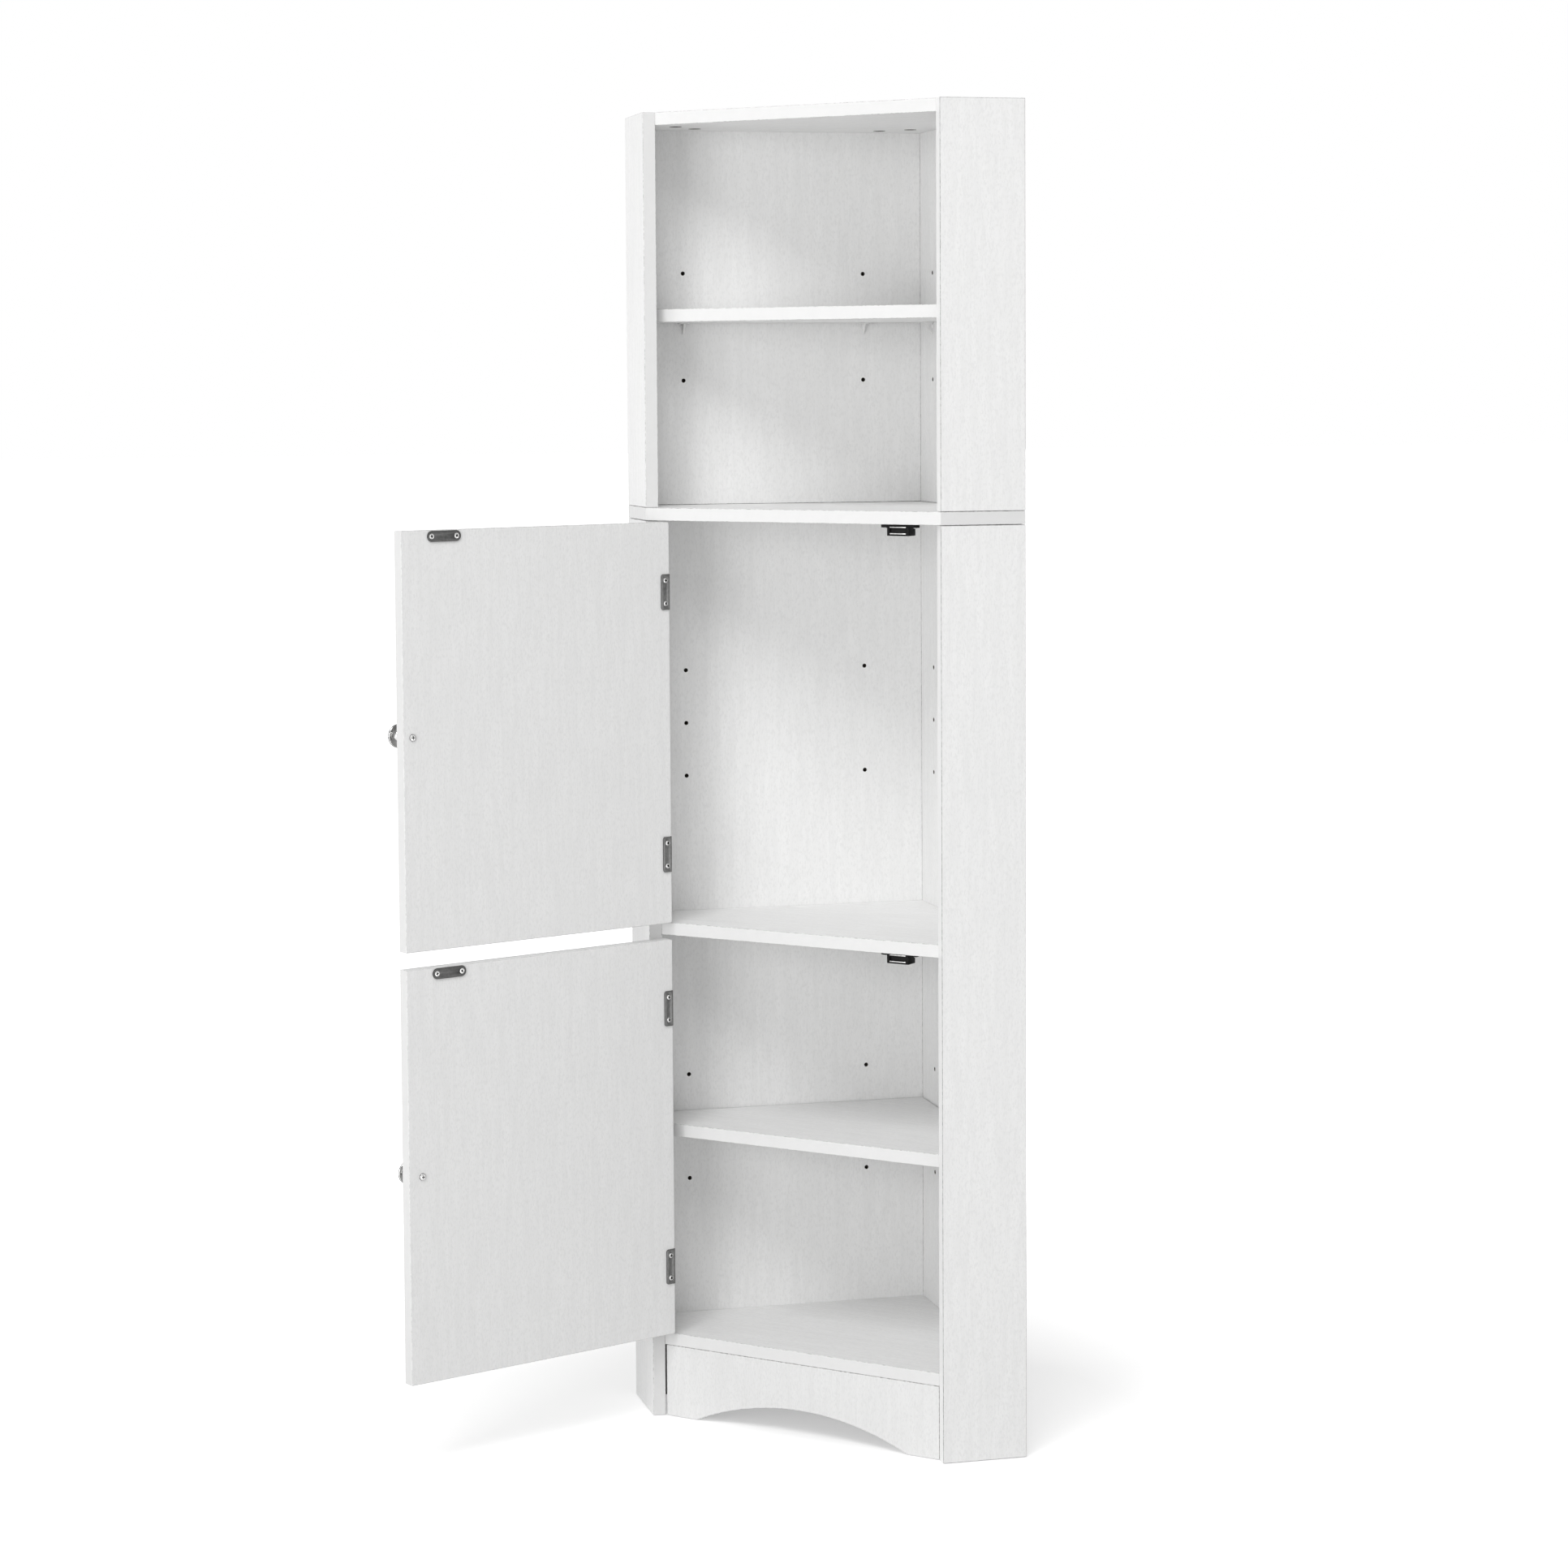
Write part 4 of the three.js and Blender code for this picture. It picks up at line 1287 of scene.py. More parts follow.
@dataclass
class Carcass:
    """The boards that stand still, with their drilled holes."""

    shop: Workshop
    plan: Plan
    hole: float = 5.0
    hole_depth: float = 10.0
    joint: float = 0.6
    slit: float = 0.3
    kick_left_gap: float = 2.0
    kick_right_gap: float = 0.3
    kick_foot: float = 42.0
    arch_rise: float = 31.0
    arch_steps: int = 64

    def pin_holes(self, wall: Wall, compartments: Sequence[Pair]) -> Form:
        """The cutters of one back's pin holes, without the one that the left back lacks.

        Args:
            wall: The wall of the back.
            compartments: The floor and the height of each compartment.

        Returns:
            One form that holds them all.
        """
        plan = self.plan
        undrilled = (Wall.LEFT, plan.upper_floor, 1, 1)
        holes = []
        for floor, height in compartments:
            for row, level in enumerate(plan.rows(floor, height)):
                for column, along in enumerate(plan.columns(wall)):
                    if (wall, floor, row, column) == undrilled:
                        continue
                    start = plan.at_wall(wall, along, plan.board - self.hole_depth, level)
                    mouth = plan.at_wall(wall, along, plan.board + OVERRUN, level)
                    holes.append(Form.rod(self.hole, start, mouth, Sides.HOLE))
        return Form.together(holes)

    def uprights(self) -> None:
        """Builds the sides and the backs of both sections."""
        plan, shop = self.plan, self.shop
        doors = [(plan.lower_floor, plan.lower_opening), (plan.upper_floor, plan.upper_opening)]
        for section, heights, compartments in (
            ("lower", (0.0, plan.mid_board - self.joint), doors),
            ("upper", (plan.open_floor + self.slit, plan.top), [(plan.open_floor, plan.open_section)]),
        ):
            # The right sides wear darker laminate and seams and a lighter band: painted shade and
            # painted light.
            for wall, start, side_dress in (
                (Wall.LEFT, plan.board, Dress.UPRIGHT), (Wall.RIGHT, 0.0, Dress.RIGHT_SIDE)
            ):
                name = f"{section}_{wall.value}"
                side = plan.wall_block(
                    wall, (plan.side_inner, plan.wall_width), (0, plan.side_depth), heights
                )
                shop.board(f"{name}_side", side, wall.along, side_dress)
                back = plan.wall_block(wall, (start, plan.side_inner), (0, plan.board), heights)
                holes = self.pin_holes(wall, compartments)
                shop.board(f"{name}_back", back, wall.across, Dress.UPRIGHT, [holes])

    def levels(self) -> None:
        """Builds the boards that lie flat and are fixed, with their cam locks."""
        plan, shop, upwards = self.plan, self.shop, (0, 0, 1)
        cams = CamLocks(shop, plan)
        flat = {
            "bottom_shelf": plan.kick_height, "middle_shelf": plan.middle_shelf,
            "top_board": plan.top_board,
        }
        for node, underside in flat.items():
            form = Form.prism(plan.inner_outline(), underside, underside + plan.board)
            shop.board(node, form, upwards, Dress.LEVEL, [cams.recesses(underside)])
        cover = Form.prism(plan.outer_outline(), plan.mid_board, plan.open_floor)
        shop.board("mid_board", cover, upwards, Dress.LEVEL)
        for node, underside in flat.items():
            cams.build(f"{node}_cam", underside, "cam_lock" if node == "top_board" else "")

    def kick_board(self) -> None:
        """Builds the board below the bottom shelf, with its shallow arch."""
        plan = self.plan
        start, end = self.kick_left_gap, plan.front_width - self.kick_right_gap
        middle, half_chord = (start + end) / 2, (end - start) / 2 - self.kick_foot
        radius = (half_chord**2 + self.arch_rise**2) / (2 * self.arch_rise)
        half = math.asin(half_chord / radius)
        angles = (
            half * (2 * step / self.arch_steps - 1) for step in range(self.arch_steps + 1)
        )
        arch = [
            (middle + radius * math.sin(angle), self.arch_rise - radius + radius * math.cos(angle))
            for angle in angles
        ]
        high = plan.kick_height - self.slit
        outline = [(start, 0), *arch, (end, 0), (end, high), (start, high)]
        form = Form.prism(outline, -plan.board, 0).moved(plan.front @ turn(QUARTER, "X"))
        # The kick board wears the darkest laminate: painted shade near the floor.
        self.shop.board("kick_board", form, (1, 1, 0), Dress.KICK)

    def build(self) -> None:
        """Builds all the boards."""
        self.uprights()
        self.levels()
        self.kick_board()


@dataclass
class AdjustableShelf:
    """A loose shelf on four pins, in the middle row of holes of a compartment."""

    shop: Workshop
    plan: Plan
    name: str
    floor: float
    height: float
    clearance: float = 1.2
    set_back: float = 18.0
    pin_rise: float = 5.0

    def build(self) -> None:
        """Builds the shelf and its pins."""
        plan = self.plan
        underside = plan.rows(self.floor, self.height)[1] + self.pin_rise
        outline = plan.inner_outline(self.clearance, self.set_back)
        form = Form.prism(outline, underside, underside + plan.board)
        self.shop.board(f"{self.name}_adjustable_shelf", form, (0, 0, 1), Dress.LEVEL)
        pin = ShelfPin(self.shop)
        spots = [(wall, along) for wall in Wall for along in plan.columns(wall)]
        for number, (wall, along) in enumerate(spots, 1):
            place = plan.at_wall(wall, along, plan.board, underside)
            pin.build(f"{self.name}_shelf_pin_{number}", place, wall)


# Catches


@dataclass
class MagneticCatch:
    """A magnetic catch under a board: a black housing, two pole plates, a magnet, screws."""

    shop: Workshop
    plan: Plan
    name: str
    underside: float
    inset: float
    width: float = 28.4
    depth: float = 16.4
    height: float = 14.2
    ease: float = 0.6
    ear_span: float = 48.6
    ear_depth: float = 12.0
    ear_set_back: float = 6.2
    ear: float = 4.8
    slot_width: float = 3.4
    slot_length: float = 6.4
    flat: float = 0.05
    pole_width: float = 20.8
    pole_depth: float = 13.5
    pole: float = 1.1
    pole_ease: float = 0.15
    pole_spacing: float = 7.4
    pole_drop: float = 8.0
    projection: float = 0.5
    magnet_set_back: float = 2.0
    small_ease: float = 0.3
    gap: float = 0.3
    strike: float = 1.4

    @property
    def pole_front(self) -> float:
        """How far behind the front line the pole plates begin."""
        return self.plan.board + self.gap + self.strike + self.gap

    @property
    def place(self) -> Matrix:
        """The frame of the catch: X along the front, its top on height zero."""
        return self.plan.front @ shift(self.plan.front_width - self.inset, 0, self.underside)

    @property
    def ears(self) -> list[Vector]:
        """The middle of each ear's underside."""
        middle = self.pole_front + self.projection + self.ear_set_back
        reach = (self.ear_span + self.width) / 4
        return [Vector((end * reach, middle, -self.ear)) for end in ENDS]

    def housing(self) -> Form:
        """The form of the housing with its ears, slots and pocket.

        Returns:
            The form.
        """
        front, half = self.pole_front + self.projection, self.width / 2
        body = Form.block((-half, front, -self.height), (half, front + self.depth, 0))
        body.eased(self.ease, steps=3)
        ears, slots = [], []
        for end, spot in zip(ENDS, self.ears):
            tip, root = end * self.ear_span / 2, end * (half - OVERRUN)
            ear = Form.block(
                (min(tip, root), spot.y - self.ear_depth / 2, spot.z),
                (max(tip, root), spot.y + self.ear_depth / 2, 0),
            ).rounded(edges("z", x=tip), self.ear_depth / 2 - self.flat, steps=10)
            ears.append(ear.eased(self.small_ease))
            slot = Form.block(
                (spot.x - self.slot_length / 2, spot.y - self.slot_width / 2, spot.z - OVERRUN),
                (spot.x + self.slot_length / 2, spot.y + self.slot_width / 2, OVERRUN),
            )
            slots.append(slot.rounded(edges("z"), self.slot_width / 2 - self.flat, steps=8))
        tall = (self.pole_spacing + self.pole) / 2 + self.gap
        wide = self.pole_width / 2 + self.gap
        pocket = Form.block(
            (-wide, front - OVERRUN, -tall - self.pole_drop),
            (wide, self.pole_front + self.pole_depth + self.gap, tall - self.pole_drop),
        )
        slotted = Form.together(ears).cut(Form.together(slots))
        return Form.together([body.cut(pocket), slotted])

    def plates(self) -> Form:
        """The form of the two pole plates.

        Returns:
            The form.
        """
        half, front = self.pole_width / 2, self.pole_front
        plates = []
        for end in ENDS:
            low = end * self.pole_spacing / 2 - self.pole_drop - self.pole / 2
            plate = Form.block(
                (-half, front, low), (half, front + self.pole_depth, low + self.pole)
            )
            plates.append(plate.eased(self.pole_ease))
        return Form.together(plates)

    def magnet(self) -> Form:
        """The form of the magnet between the plates.

        Returns:
            The form.
        """
        half, tall = self.pole_width / 2, (self.pole_spacing - self.pole) / 2
        return Form.block(
            (-half, self.pole_front + self.magnet_set_back, -tall - self.pole_drop),
            (half, self.pole_front + self.pole_depth, tall - self.pole_drop),
        ).eased(self.small_ease)

    def build(self) -> None:
        """Builds the catch in its place."""
        start = f"{self.name}_catch"
        for end, form, dress, node in (
            ("case", self.housing(), Dress.CATCH_CASE, f"{start}_housing"),
            ("poles", self.plates(), Dress.CATCH_POLE, f"{start}_magnet"),
            ("ferrite", self.magnet(), Dress.CATCH_MAGNET, ""),
        ):
            self.shop.piece(f"{start}_{end}", form.moved(self.place), dress, node)
        screw = Screw(head=5.6, crown=1.3, sink=0.3).form()
        for number, spot in enumerate(self.ears, 1):
            place = self.place @ shift(*spot) @ turn(math.pi, "X")
            self.shop.piece(f"{start}_screw_{number}", screw.copied().moved(place), Dress.SCREW)


# Doors


@dataclass(frozen=True)
class HingeLine:
    """The place of the hinge axis and of the open door, from the gaps round the door."""

    plan: Plan
    hinge_gap: float = 4.0
    free_gap: float = 1.6
    barrel: float = 5.2
    gap: float = 0.3
    open_angle: float = 112.0

    @property
    def door_front(self) -> float:
        """The distance from the hinge axis to the door's outer face."""
        return self.barrel / 2 + self.gap

    @property
    def door_back(self) -> float:
        """The distance from the hinge axis to the door's inner face."""
        return self.door_front + self.plan.board

    @property
    def door_width(self) -> float:
        """The width of the door."""
        return self.plan.front_width - self.hinge_gap - self.free_gap

    @property
    def axis(self) -> Vector:
        """The plan place of the hinge axis."""
        return self.plan.front @ Vector((self.hinge_gap, -self.door_front, 0))

    @property
    def corner(self) -> Vector:
        """The left side's front corner, as seen from the hinge axis."""
        return self.plan.corner - self.axis

    @property
    def still(self) -> Matrix:
        """The frame of the leaf on the side: it keeps the directions of the walls."""
        return shift(*self.axis)

    @property
    def swung(self) -> Matrix:
        """The frame of the open door: X along it, Y to its inner face."""
        return self.still @ turn(-QUARTER / 2 - math.radians(self.open_angle), "Z")


@dataclass
class Hinge:
    """A hinge: a leaf on the side, a leaf let into the door's edge, a pin and screws."""

    shop: Workshop
    line: HingeLine
    door: str
    end: str
    level: float
    height: float = 42.0
    leaf: float = 1.2
    corner: float = 3.0
    ease: float = 0.18
    frame_depth: float = 14.0
    door_leaf_width: float = 12.5
    door_leaf_start: float = 4.5
    bend: float = 1.1
    knuckles: int = 3
    knuckle_ease: float = 0.2
    strip_ease: float = 0.12
    pin: float = 2.6
    pin_point: float = 0.3
    pin_head: float = 4.0
    pin_head_height: float = 0.8
    head_shares: tuple[Pair, ...] = ((1.0, 0.0), (1.0, 0.375), (0.8, 0.775), (0.45, 1.0))
    screw_spacing: float = 27.0
    screw_inset: float = 6.3
    screw_hole: float = 3.4
    screw_turn: float = 0.5
    screw_drift: float = 0.01
    sink: float = 6.2
    sink_above: float = 0.3
    sink_depth: float = 0.8
    sink_step: float = 0.2

    @property
    def node(self) -> str:
        """The start of the names of the hinge's nodes."""
        return f"{self.door}_door_{self.end}_hinge"

    @property
    def skin(self) -> float:
        """The distance from the hinge axis to the door leaf's outer face on the door."""
        return self.line.door_back + self.line.gap + self.leaf

    @property
    def screw_levels(self) -> list[float]:
        """The heights of a leaf's two screws."""
        return [end * self.screw_spacing / 2 for end in ENDS]

    def eye(self, index: int, face: float, end: float) -> list[Form]:
        """One knuckle with the strip that joins it to its leaf.

        Args:
            index: The place of the knuckle, counted from the bottom.
            face: The X of the strip's outer face.
            end: The Y of the strip's end.

        Returns:
            The forms.
        """
        gap, ease = self.line.gap, self.knuckle_ease
        tall = (self.height - (self.knuckles - 1) * gap) / self.knuckles
        low = index * (tall + gap) - self.height / 2
        high = low + tall
        outer, inner = self.line.barrel / 2, self.pin / 2 + gap
        ring = [
            (inner, low), (outer - ease, low), (outer, low + ease), (outer, high - ease),
            (outer - ease, high), (inner, high),
        ]
        strip = Form.block((face, (inner + outer) / 2, low), (face + self.leaf, end, high))
        return [Form.turned(ring, Sides.SCREW, ring=True), strip.eased(self.strip_ease, steps=1)]

    def holes(self, entry: Sequence[float], inward: Sequence[float]) -> list[Form]:
        """The cutters of the two countersunk screw holes of a leaf.

        Args:
            entry: The middle between the holes, on the leaf's outer face.
            inward: The direction through the leaf.

        Returns:
            The drill holes and the countersinks.
        """
        way = Vector(inward)
        faces = [Vector(entry) + Vector((0, 0, up)) for up in self.screw_levels]
        drills = Form.together(
            Form.rod(self.screw_hole, face - way, face + 2 * self.leaf * way, Sides.HOLE)
            for face in faces
        )
        sinks = Form.together(
            Form.rod(
                self.sink + 2 * self.sink_above, face - self.sink_above * way,
                face + self.sink_depth * way, Sides.SINK, self.screw_hole - self.sink_step,
            )
            for face in faces
        )
        return [drills, sinks]

    def frame_leaf(self) -> Form:
        """The form of the leaf on the side, with the two outer knuckles.

        Returns:
            The form.
        """
        corner, half = self.line.corner, self.height / 2
        end = corner.y + self.frame_depth
        flat = Form.block((corner.x, corner.y, -half), (corner.x + self.leaf, end, half))
        flat.rounded(edges("x", y=end), self.corner, steps=8).eased(self.ease)
        # The leaf's edges take the dark finish: painted shade.
        flat.painted(1, lambda face: abs(face.normal.x) < TILTED)
        flat.cut(*self.holes((corner.x + self.leaf, end - self.screw_inset, 0), (-1, 0, 0)))
        strip = (corner.x, corner.y + self.line.gap)
        return Form.together([flat, *self.eye(0, *strip), *self.eye(self.knuckles - 1, *strip)])

    def door_leaf(self) -> Form:
        """The form of the leaf bent from the door's edge to its face, with the middle knuckle.

        Returns:
            The form.
        """
        wide, start, skin = self.door_leaf_width, self.door_leaf_start, self.skin
        inner, half = skin - self.leaf, self.height / 2
        outline = [
            (0.0, start), (self.leaf, start), (self.leaf, inner), (wide, inner), (wide, skin),
            (0.0, skin),
        ]
        angle = Form.prism(outline, -half, half)
        angle.rounded(edges(x=0.0, y=skin), self.bend)
        angle.rounded(edges("y", x=wide), self.corner, steps=8).eased(self.ease)
        # The leaf's edges take the dark finish: painted shade.
        angle.painted(
            1, lambda face: abs(face.normal.y) < TILTED
            and face.calc_center_median().x > self.leaf + OVERRUN,
        )
        angle.cut(*self.holes((self.screw_inset, skin, 0), (0, -1, 0)))
        return Form.together([angle, *self.eye(1, 0.0, start + self.line.gap)])

    def notch(self) -> Form:
        """The cutter of the notch in the door's edge, in the frame of the door.

        Returns:
            The form.
        """
        line, reach = self.line, self.height / 2 + self.line.gap
        return Form.block(
            (-OVERRUN, line.door_front - OVERRUN, self.level - reach),
            (self.leaf + line.gap, line.door_back + OVERRUN, self.level + reach),
        )

    def hinge_pin(self) -> Form:
        """The form of the pin, with a domed head.

        Returns:
            The form.
        """
        half, radius, point = self.height / 2, self.pin / 2, self.pin_point
        head = [
            (self.pin_head / 2 * out, half + self.pin_head_height * up)
            for out, up in self.head_shares
        ]
        profile = [
            (0, -half), (radius - point, -half), (radius, point - half), (radius, half), *head,
            (0, half + self.pin_head_height),
        ]
        return Form.turned(profile, Sides.PIN)

    def build(self) -> None:
        """Builds the hinge at its height."""
        shop, line, corner = self.shop, self.line, self.line.corner
        door = Body(f"{self.door}_door")
        still, swung = (place @ shift(0, 0, self.level) for place in (line.still, line.swung))
        for piece, form, node, body in (
            ("wrapped_leaf", self.door_leaf().moved(swung), "door_leaf", door),
            ("fixed_leaf", self.frame_leaf().moved(still), "frame_leaf", Body.CARCASS),
            ("spindle", self.hinge_pin().moved(still), "pin", Body.CARCASS),
        ):
            shop.piece(f"{self.node}_{piece}", form, Dress.LEAF, f"{self.node}_{node}", body)
        screw = Screw().form()
        deep = corner.y + self.frame_depth - self.screw_inset
        for number, up in enumerate(self.screw_levels, 1):
            spin = turn(self.screw_turn * number + self.screw_drift * self.level, "Z")
            on_door = shift(self.screw_inset, self.skin, up) @ turn(-QUARTER, "X")
            on_side = shift(corner.x + self.leaf, deep, up) @ turn(QUARTER, "Y")
            for leaf, place, body in (
                ("door", swung @ on_door, door), ("frame", still @ on_side, Body.CARCASS)
            ):
                form = screw.copied().moved(place @ spin)
                shop.piece(f"{self.node}_{leaf}_screw_{number}", form, Dress.SCREW, body=body)


@dataclass
class Knob:
    """A turned mushroom knob, with the machine screw that holds it through the door."""

    shop: Workshop
    line: HingeLine
    diameter: float = 27.5
    projection: float = 22.5
    rim_height: float = 13.0
    rim: float = 1.6
    foot: float = 14.0
    foot_height: float = 2.0
    foot_ease: float = 0.3
    bore_edge: float = 0.2
    neck: float = 9.0
    lip: Pair = (0.5, 1.15)
    lip_rise: float = 0.9
    groove_inset: float = 2.4
    groove_rise: float = 0.75
    cap: Pair = (-0.4, 1.35)
    cap_steps: int = 18
    band_inset: float = 0.6
    band: Pair = (0.7, 0.2)
    screw: float = 4.0
    screw_ease: float = 0.4
    grip: float = 10.0
    head: float = 8.0
    head_height: float = 1.8
    head_share: float = 0.4
    dark_share: float = 0.93
    cross_length: float = 4.2
    cross_width: float = 1.0
    cross_depth: float = 1.0

    def curve(self, start: Pair, control: Pair, end: Pair, steps: int) -> list[Pair]:
        """Points on a curve with one control point, without its start.

        Args:
            start: The start.
            control: The control point.
            end: The end.
            steps: The number of points.

        Returns:
            The points.
        """
        points = []
        for step in range(1, steps + 1):
            share = step / steps
            weights = ((1 - share) ** 2, 2 * share * (1 - share), share**2)
            corners = (start, control, end)
            points.append(tuple(
                sum(weight * corner[axis] for weight, corner in zip(weights, corners))
                for axis in (0, 1)
            ))
        return points

    def form(self) -> Form:
        """The knob's form, standing on height zero, with a band of painted reflection round its rim.

        Returns:
            The form.
        """
        rim, foot, neck = self.diameter / 2, self.foot / 2, self.neck / 2
        foot_top, under = self.foot_height, self.rim_height
        crown = under + self.rim
        rise, depth = self.projection - crown, self.grip + OVERRUN
        bore, groove = self.screw / 2 + self.line.gap, rim - self.groove_inset
        lip = (groove + self.lip[0], crown + self.lip[1])
        cap = (groove + self.cap[0], crown + self.cap[1])
        profile = [
            (0.0, depth), (bore, depth), (bore, self.bore_edge), (foot - self.foot_ease, 0.0),
            (foot, self.foot_ease), (foot, foot_top),
        ]
        for control, end, steps in (
            ((neck, foot_top), (neck, (foot_top + under) / 2), 10),
            ((neck, under), (rim - self.rim, under), 12),
            ((rim, under), (rim, crown), 6),
            ((rim, crown + self.lip_rise), lip, 6),
            ((groove, crown + self.groove_rise), cap, 4),
        ):
            profile += self.curve(profile[-1], control, end, steps)
        first = math.asin(self.cap[1] / rise)
        for step in range(1, self.cap_steps):
            angle = first + (QUARTER - first) * step / self.cap_steps
            out = cap[0] * math.cos(angle) / math.cos(first)
            profile.append((out, crown + rise * math.sin(angle)))
        profile.append((0.0, self.projection))
        # The band round the rim takes the dark finish: painted reflection.
        low, high = under + self.band[0], crown + self.band[1]
        return Form.turned(profile, Sides.KNOB).painted(
            1, lambda face: low < face.calc_center_median().z < high
            and face.calc_center_median().xy.length > rim - self.band_inset,
        )

    def fastener(self) -> Form:
        """The form of the machine screw, its head below height zero, its rim and recess in painted
        shade.

        Returns:
            The form.
        """
        head, shank, ease = self.head / 2, self.screw / 2, self.screw_ease
        end = self.line.plan.board + self.grip + 2 * self.line.gap
        low = -self.head_height
        dome = self.curve((head, 0), (head, low), (head * self.head_share, low), 10)
        profile = [
            (0, end), (shank - ease, end), (shank, end - ease), (shank, 0), (head, 0), *dome,
            (0, low),
        ]
        blades = Form.cross(
            self.cross_length, self.cross_width, low - OVERRUN / 2, low + self.cross_depth
        )
        # The head's outer rim and its cross recess take the dark finish: painted shade.
        return Form.turned(profile, Sides.CAM).painted(
            1, lambda face: face.calc_center_median().xy.length > self.dark_share * head
        ).cut(*[blade.painted(1) for blade in blades])

    def build(self, door: str, place: Pair) -> None:
        """Puts a knob on a door.

        Args:
            door: The door's name.
            place: Its distance along the door and its height.
        """
        line, body, start = self.line, Body(f"{door}_door"), f"{door}_knob"
        for end, form, out, dress, node, smooth in (
            ("turning", self.form(), line.door_front - line.gap, Dress.KNOB, start, 50.0),
            (
                "fastener", self.fastener(), line.door_back + line.gap, Dress.KNOB_SCREW,
                f"{start}_screw", 35.0,
            ),
        ):
            spot = line.swung @ shift(place[0], out, place[1]) @ turn(QUARTER, "X")
            self.shop.piece(f"{start}_{end}", form.moved(spot), dress, node, body, smooth)


@dataclass
class StrikePlate:
    """The steel plate on the door that the catch holds, with its two screws."""

    shop: Workshop
    line: HingeLine
    length: float = 44.0
    width: float = 12.5
    thickness: float = 1.4
    flat: float = 0.02
    ease: float = 0.25
    screw_spacing: float = 33.0
    screw_hole: float = 3.4
    screw_turn: float = 0.9
    sink: float = 6.4
    sink_above: float = 0.3
    sink_depth: float = 0.9

    @property
    def spots(self) -> list[float]:
        """The places of the two screws along the plate."""
        return [end * self.screw_spacing / 2 for end in ENDS]

    def form(self) -> Form:
        """The form of the plate in its own frame: X along it, its face at Y = thickness.

        Returns:
            The form.
        """
        half, high, top = self.length / 2, self.width / 2, self.thickness
        plate = Form.block((-half, 0, -high), (half, top, high))
        plate.rounded(edges("y"), high - self.flat, steps=14).eased(self.ease)
        # The plate's edges take the dark finish: painted shade.
        plate.painted(1, lambda face: abs(face.normal.y) < TILTED)
        drills = Form.together(
            Form.rod(self.screw_hole, (x, -OVERRUN, 0), (x, top + OVERRUN, 0), Sides.HOLE)
            for x in self.spots
        )
        sinks = Form.together(
            Form.rod(
                self.sink + 2 * self.sink_above, (x, top + self.sink_above, 0),
                (x, top - self.sink_depth, 0), Sides.SINK, self.screw_hole,
            )
            for x in self.spots
        )
        return plate.cut(drills, sinks)

    def build(self, door: str, centre: Pair) -> None:
        """Puts the plate on a door.

        Args:
            door: The door's name.
            centre: Its distance along the door and its height.
        """
        body, start = Body(f"{door}_door"), f"{door}_strike"
        inner = self.line.door_back + self.line.gap
        place = self.line.swung @ shift(centre[0], inner, centre[1])
        self.shop.piece(start, self.form().moved(place), Dress.STRIKE, f"{start}_plate", body)
        screw = Screw(head=6.1, crown=0.25).form()
        for number, along in enumerate(self.spots, 1):
            facing = turn(-QUARTER, "X") @ turn(self.screw_turn * number, "Z")
            form = screw.copied().moved(place @ shift(along, self.thickness, 0) @ facing)
            self.shop.piece(f"{start}_screw_{number}", form, Dress.SCREW, body=body)


@dataclass
class Door:
    """A door with its knob, its strike plate and its two hinges."""

    shop: Workshop
    plan: Plan
    name: str
    floor: float
    height: float
    gap: float
    knob_inset: float
    knob_rise: float
    knob_hole: float = 4.6
    hinge_inset: float = 82.0
    strike_inset: float = 55.8
    strike_drop: float = 7.0
    arris: float = 0.8
    corner: float = 2.2

    def build(self) -> None:
        """Builds the door and all that is on it."""
        line, shop = HingeLine(self.plan), self.shop
        low, high = self.floor + self.gap, self.floor + self.height - self.gap
        knob = (line.door_width - self.knob_inset, (low + high) / 2 + self.knob_rise)
        hole = Form.rod(
            self.knob_hole, (knob[0], line.door_front - OVERRUN, knob[1]),
            (knob[0], line.door_back + OVERRUN, knob[1]), Sides.HOLE,
        )
        hinges = [
            Hinge(shop, line, self.name, end, level)
            for end, level in (("bottom", low + self.hinge_inset), ("top", high - self.hinge_inset))
        ]
        notches = Form.together(hinge.notch() for hinge in hinges)
        board = Form.block((0, line.door_front, low), (line.door_width, line.door_back, high))
        board.rounded(edges("y", x=0.0), self.corner, steps=5)
        # The outer face takes the darkest laminate and the rest a darker one: painted shade.
        board.painted(Face.FRONT, lambda face: face.normal.y < -FLAT)
        shop.board(
            f"{self.name}_door", board.moved(line.swung), line.swung.to_3x3() @ Vector((0, 1, 0)),
            Dress.DOOR, [hole.moved(line.swung), notches.moved(line.swung)],
            Body(f"{self.name}_door"), self.arris,
        )
        Knob(shop, line).build(self.name, knob)
        strike = (line.door_width - self.strike_inset, high - self.strike_drop)
        StrikePlate(shop, line).build(self.name, strike)
        for hinge in hinges:
            hinge.build()


# Studio


@dataclass(frozen=True)
class Lamp:
    """A square soft light that looks at the middle of the cupboard, in metres."""

    name: str
    place: Triple
    size: float
    power: float
    target: Triple = (-0.2, -0.2, 0.75)

    def build(self) -> None:
        """Puts the lamp in the scene."""
        data = bpy.data.lights.new(self.name, "AREA")
        data.shape = "SQUARE"
        data.size = self.size
        data.energy = self.power
        lamp = placed(self.name, data)
        lamp.location = self.place
        aim = Vector(self.target) - Vector(self.place)
        lamp.rotation_euler = aim.to_track_quat("-Z", "Y").to_euler()


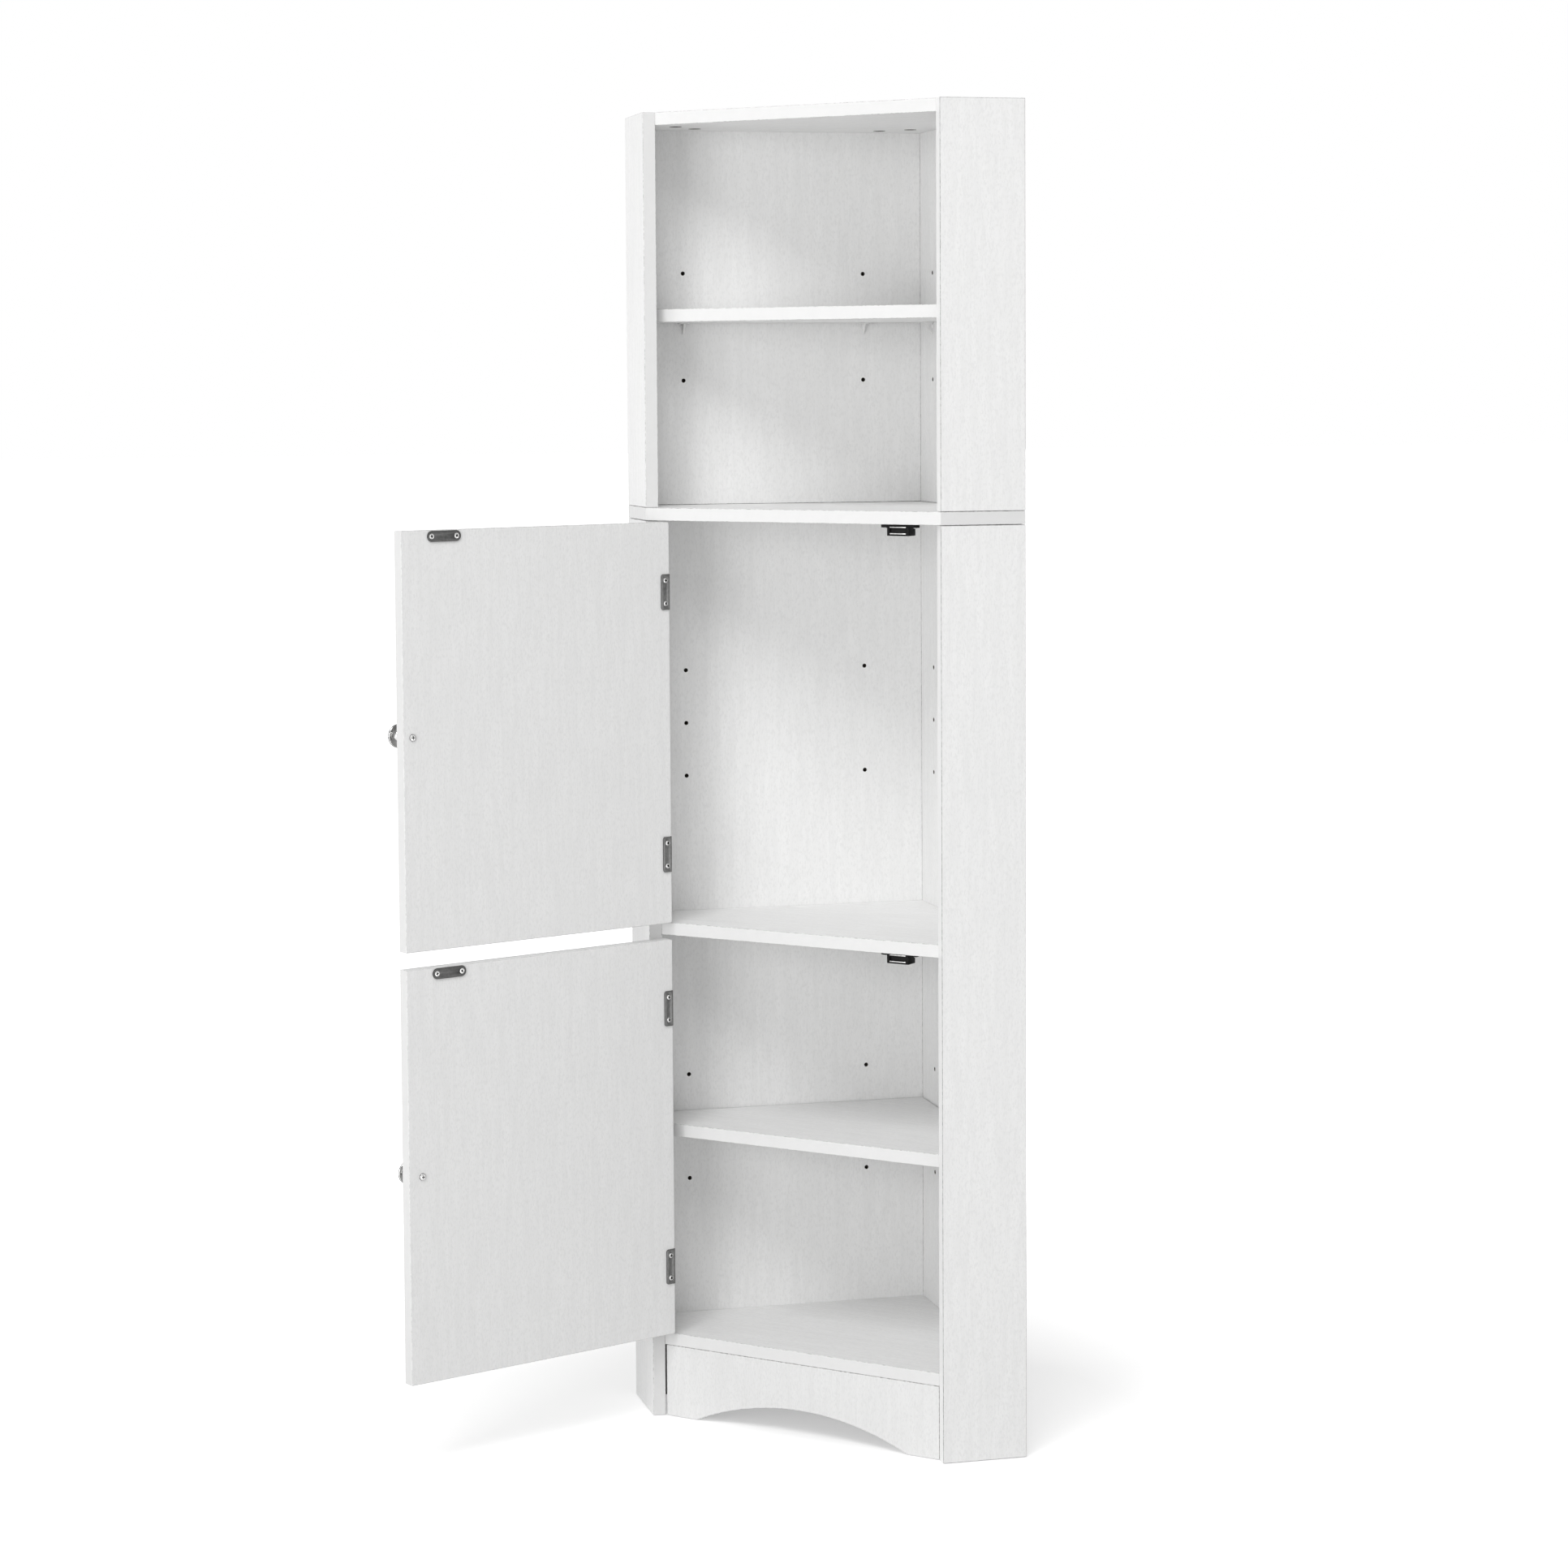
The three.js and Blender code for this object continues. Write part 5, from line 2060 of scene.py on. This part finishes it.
@dataclass
class Studio:
    """The camera, the lamps, the pale floor and the white surroundings."""

    image_side: float = 1932.0
    sensor: Pair = (30.0, 36.0)
    focal: float = 4446.788
    centre_height: float = 792.12
    eye: Triple = (-1.277090, -4.255134, 1.231618)
    yaw: float = 0.2511204
    pitch: float = -0.0714572
    roll: float = -0.0058571
    view_range: float = 100.0
    ambient: float = 0.49
    floor_size: float = 60.0
    floor_drop: float = 0.0006
    floor_colour: float = 0.80
    floor_shade: float = 0.99
    floor_mottle: Noise = Noise(6.0, 3.0)
    floor_bounds: Pair = (0.3, 0.7)
    floor_roughness: float = 0.9
    floor_centre: Triple = (-0.25, -0.25, 0.0)
    floor_lift: Pair = (0.42, 1.05)
    floor_reach: Pair = (0.45, 1.30)
    lamps: tuple[Lamp, ...] = (
        Lamp("side_softbox", place=(-4.063, -0.2, 1.785), size=1.6, power=17.0),
        Lamp("key_softbox", place=(-3.716, -3.716, 1.273), size=2.0, power=77.0),
        Lamp("high_softbox", place=(-2.129, -3.541, 5.346), size=2.4, power=144.0),
    )

    def camera(self) -> None:
        """Adds the camera at the photograph's place.

        Its sensor is upright, so that a view from another side has room for the shifted image.
        """
        data = bpy.data.cameras.new("camera")
        data.sensor_fit = "VERTICAL"
        data.sensor_width, data.sensor_height = self.sensor
        data.lens = data.sensor_height * self.focal / self.image_side
        data.shift_y = (self.centre_height - self.image_side / 2) / self.image_side
        data.clip_end = self.view_range
        camera = placed("camera", data)
        level = math.cos(self.pitch)
        ahead = Vector((
            math.sin(self.yaw) * level, math.cos(self.yaw) * level, math.sin(self.pitch)
        ))
        right = Vector((math.cos(self.yaw), -math.sin(self.yaw), 0))
        up = right.cross(ahead)
        turn_cos, turn_sin = math.cos(self.roll), math.sin(self.roll)
        columns = (turn_cos * right + turn_sin * up, turn_cos * up - turn_sin * right, -ahead)
        camera.matrix_world = shift(*self.eye) @ Matrix(columns).transposed().to_4x4()
        bpy.context.scene.camera = camera

    def surroundings(self) -> None:
        """Makes the world: white where it is seen, and soft light elsewhere."""
        world = bpy.data.worlds.new("surroundings")
        bpy.context.scene.world = world
        graph = Graph(world)
        graph.tree.nodes.clear()
        skies = {
            place: graph.add("Background", 0, {"Color": (1, 1, 1, 1), "Strength": strength})
            for place, strength in ((1, self.ambient), (2, 1.0))
        }
        mix = graph.add("MixShader", 0, {0: graph.seen(), **skies})
        output = graph.tree.nodes.new("ShaderNodeOutputWorld")
        graph.fill(output, {"Surface": mix})

    def floor(self) -> None:
        """Adds the pale floor, which keeps the cupboard's soft shadow."""
        shape = bmesh.new()
        bmesh.ops.create_grid(
            shape, x_segments=1, y_segments=1, size=self.floor_size,
            matrix=shift(0, 0, -self.floor_drop),
        )
        mesh = bpy.data.meshes.new("floor")
        shape.to_mesh(mesh)
        shape.free()
        floor = placed("floor", mesh)
        graph = Graph(bpy.data.materials.new("pale_floor"))
        pale = (self.floor_colour,) * 3
        share = graph.spread(graph.noise(self.floor_mottle), self.floor_bounds)
        # Glow seen only by the camera, weak near the cupboard and full further out: painted light on
        # the floor.
        where = graph.add("TexCoord", "Object")
        away = graph.add(
            "VectorMath", "Value", {0: where, 1: self.floor_centre}, operation="DISTANCE"
        )
        rise = graph.spread(away, self.floor_reach, self.floor_lift)
        lift = graph.add("Math", 0, {0: graph.seen(), 1: rise}, operation="MULTIPLY")
        graph.fill(graph.shader, {
            "Base Color": graph.blend(share, pale, scaled(pale, self.floor_shade)),
            "Roughness": self.floor_roughness, "Specular IOR Level": 0.0,
            "Emission Color": (1, 1, 1, 1), "Emission Strength": lift,
        })
        mesh.materials.append(graph.owner)

    def build(self) -> None:
        """Sets up the whole studio."""
        bpy.context.scene.view_settings.view_transform = "Standard"
        self.camera()
        self.surroundings()
        self.floor()
        for lamp in self.lamps:
            lamp.build()


def main() -> None:
    """Builds the cupboard and the studio."""
    logging.basicConfig(level=logging.INFO, format="%(message)s", stream=sys.stdout)
    Studio().build()
    shop = Workshop()
    plan = Plan()
    Carcass(shop, plan).build()
    AdjustableShelf(shop, plan, "lower", plan.lower_floor, plan.lower_opening).build()
    AdjustableShelf(shop, plan, "upper", plan.open_floor, plan.open_section).build()
    MagneticCatch(shop, plan, "lower", plan.middle_shelf, inset=62.2).build()
    MagneticCatch(shop, plan, "upper", plan.mid_board, inset=60.0).build()
    Door(
        shop, plan, "lower", plan.lower_floor, plan.lower_opening, gap=3.0, knob_inset=17.3,
        knob_rise=0.7,
    ).build()
    Door(
        shop, plan, "upper", plan.upper_floor, plan.upper_opening, gap=1.5, knob_inset=11.8,
        knob_rise=5.5,
    ).build()
    shop.bolts()
    LOG.info("%d pieces made", shop.made)


if __name__ == "__main__":
    main()
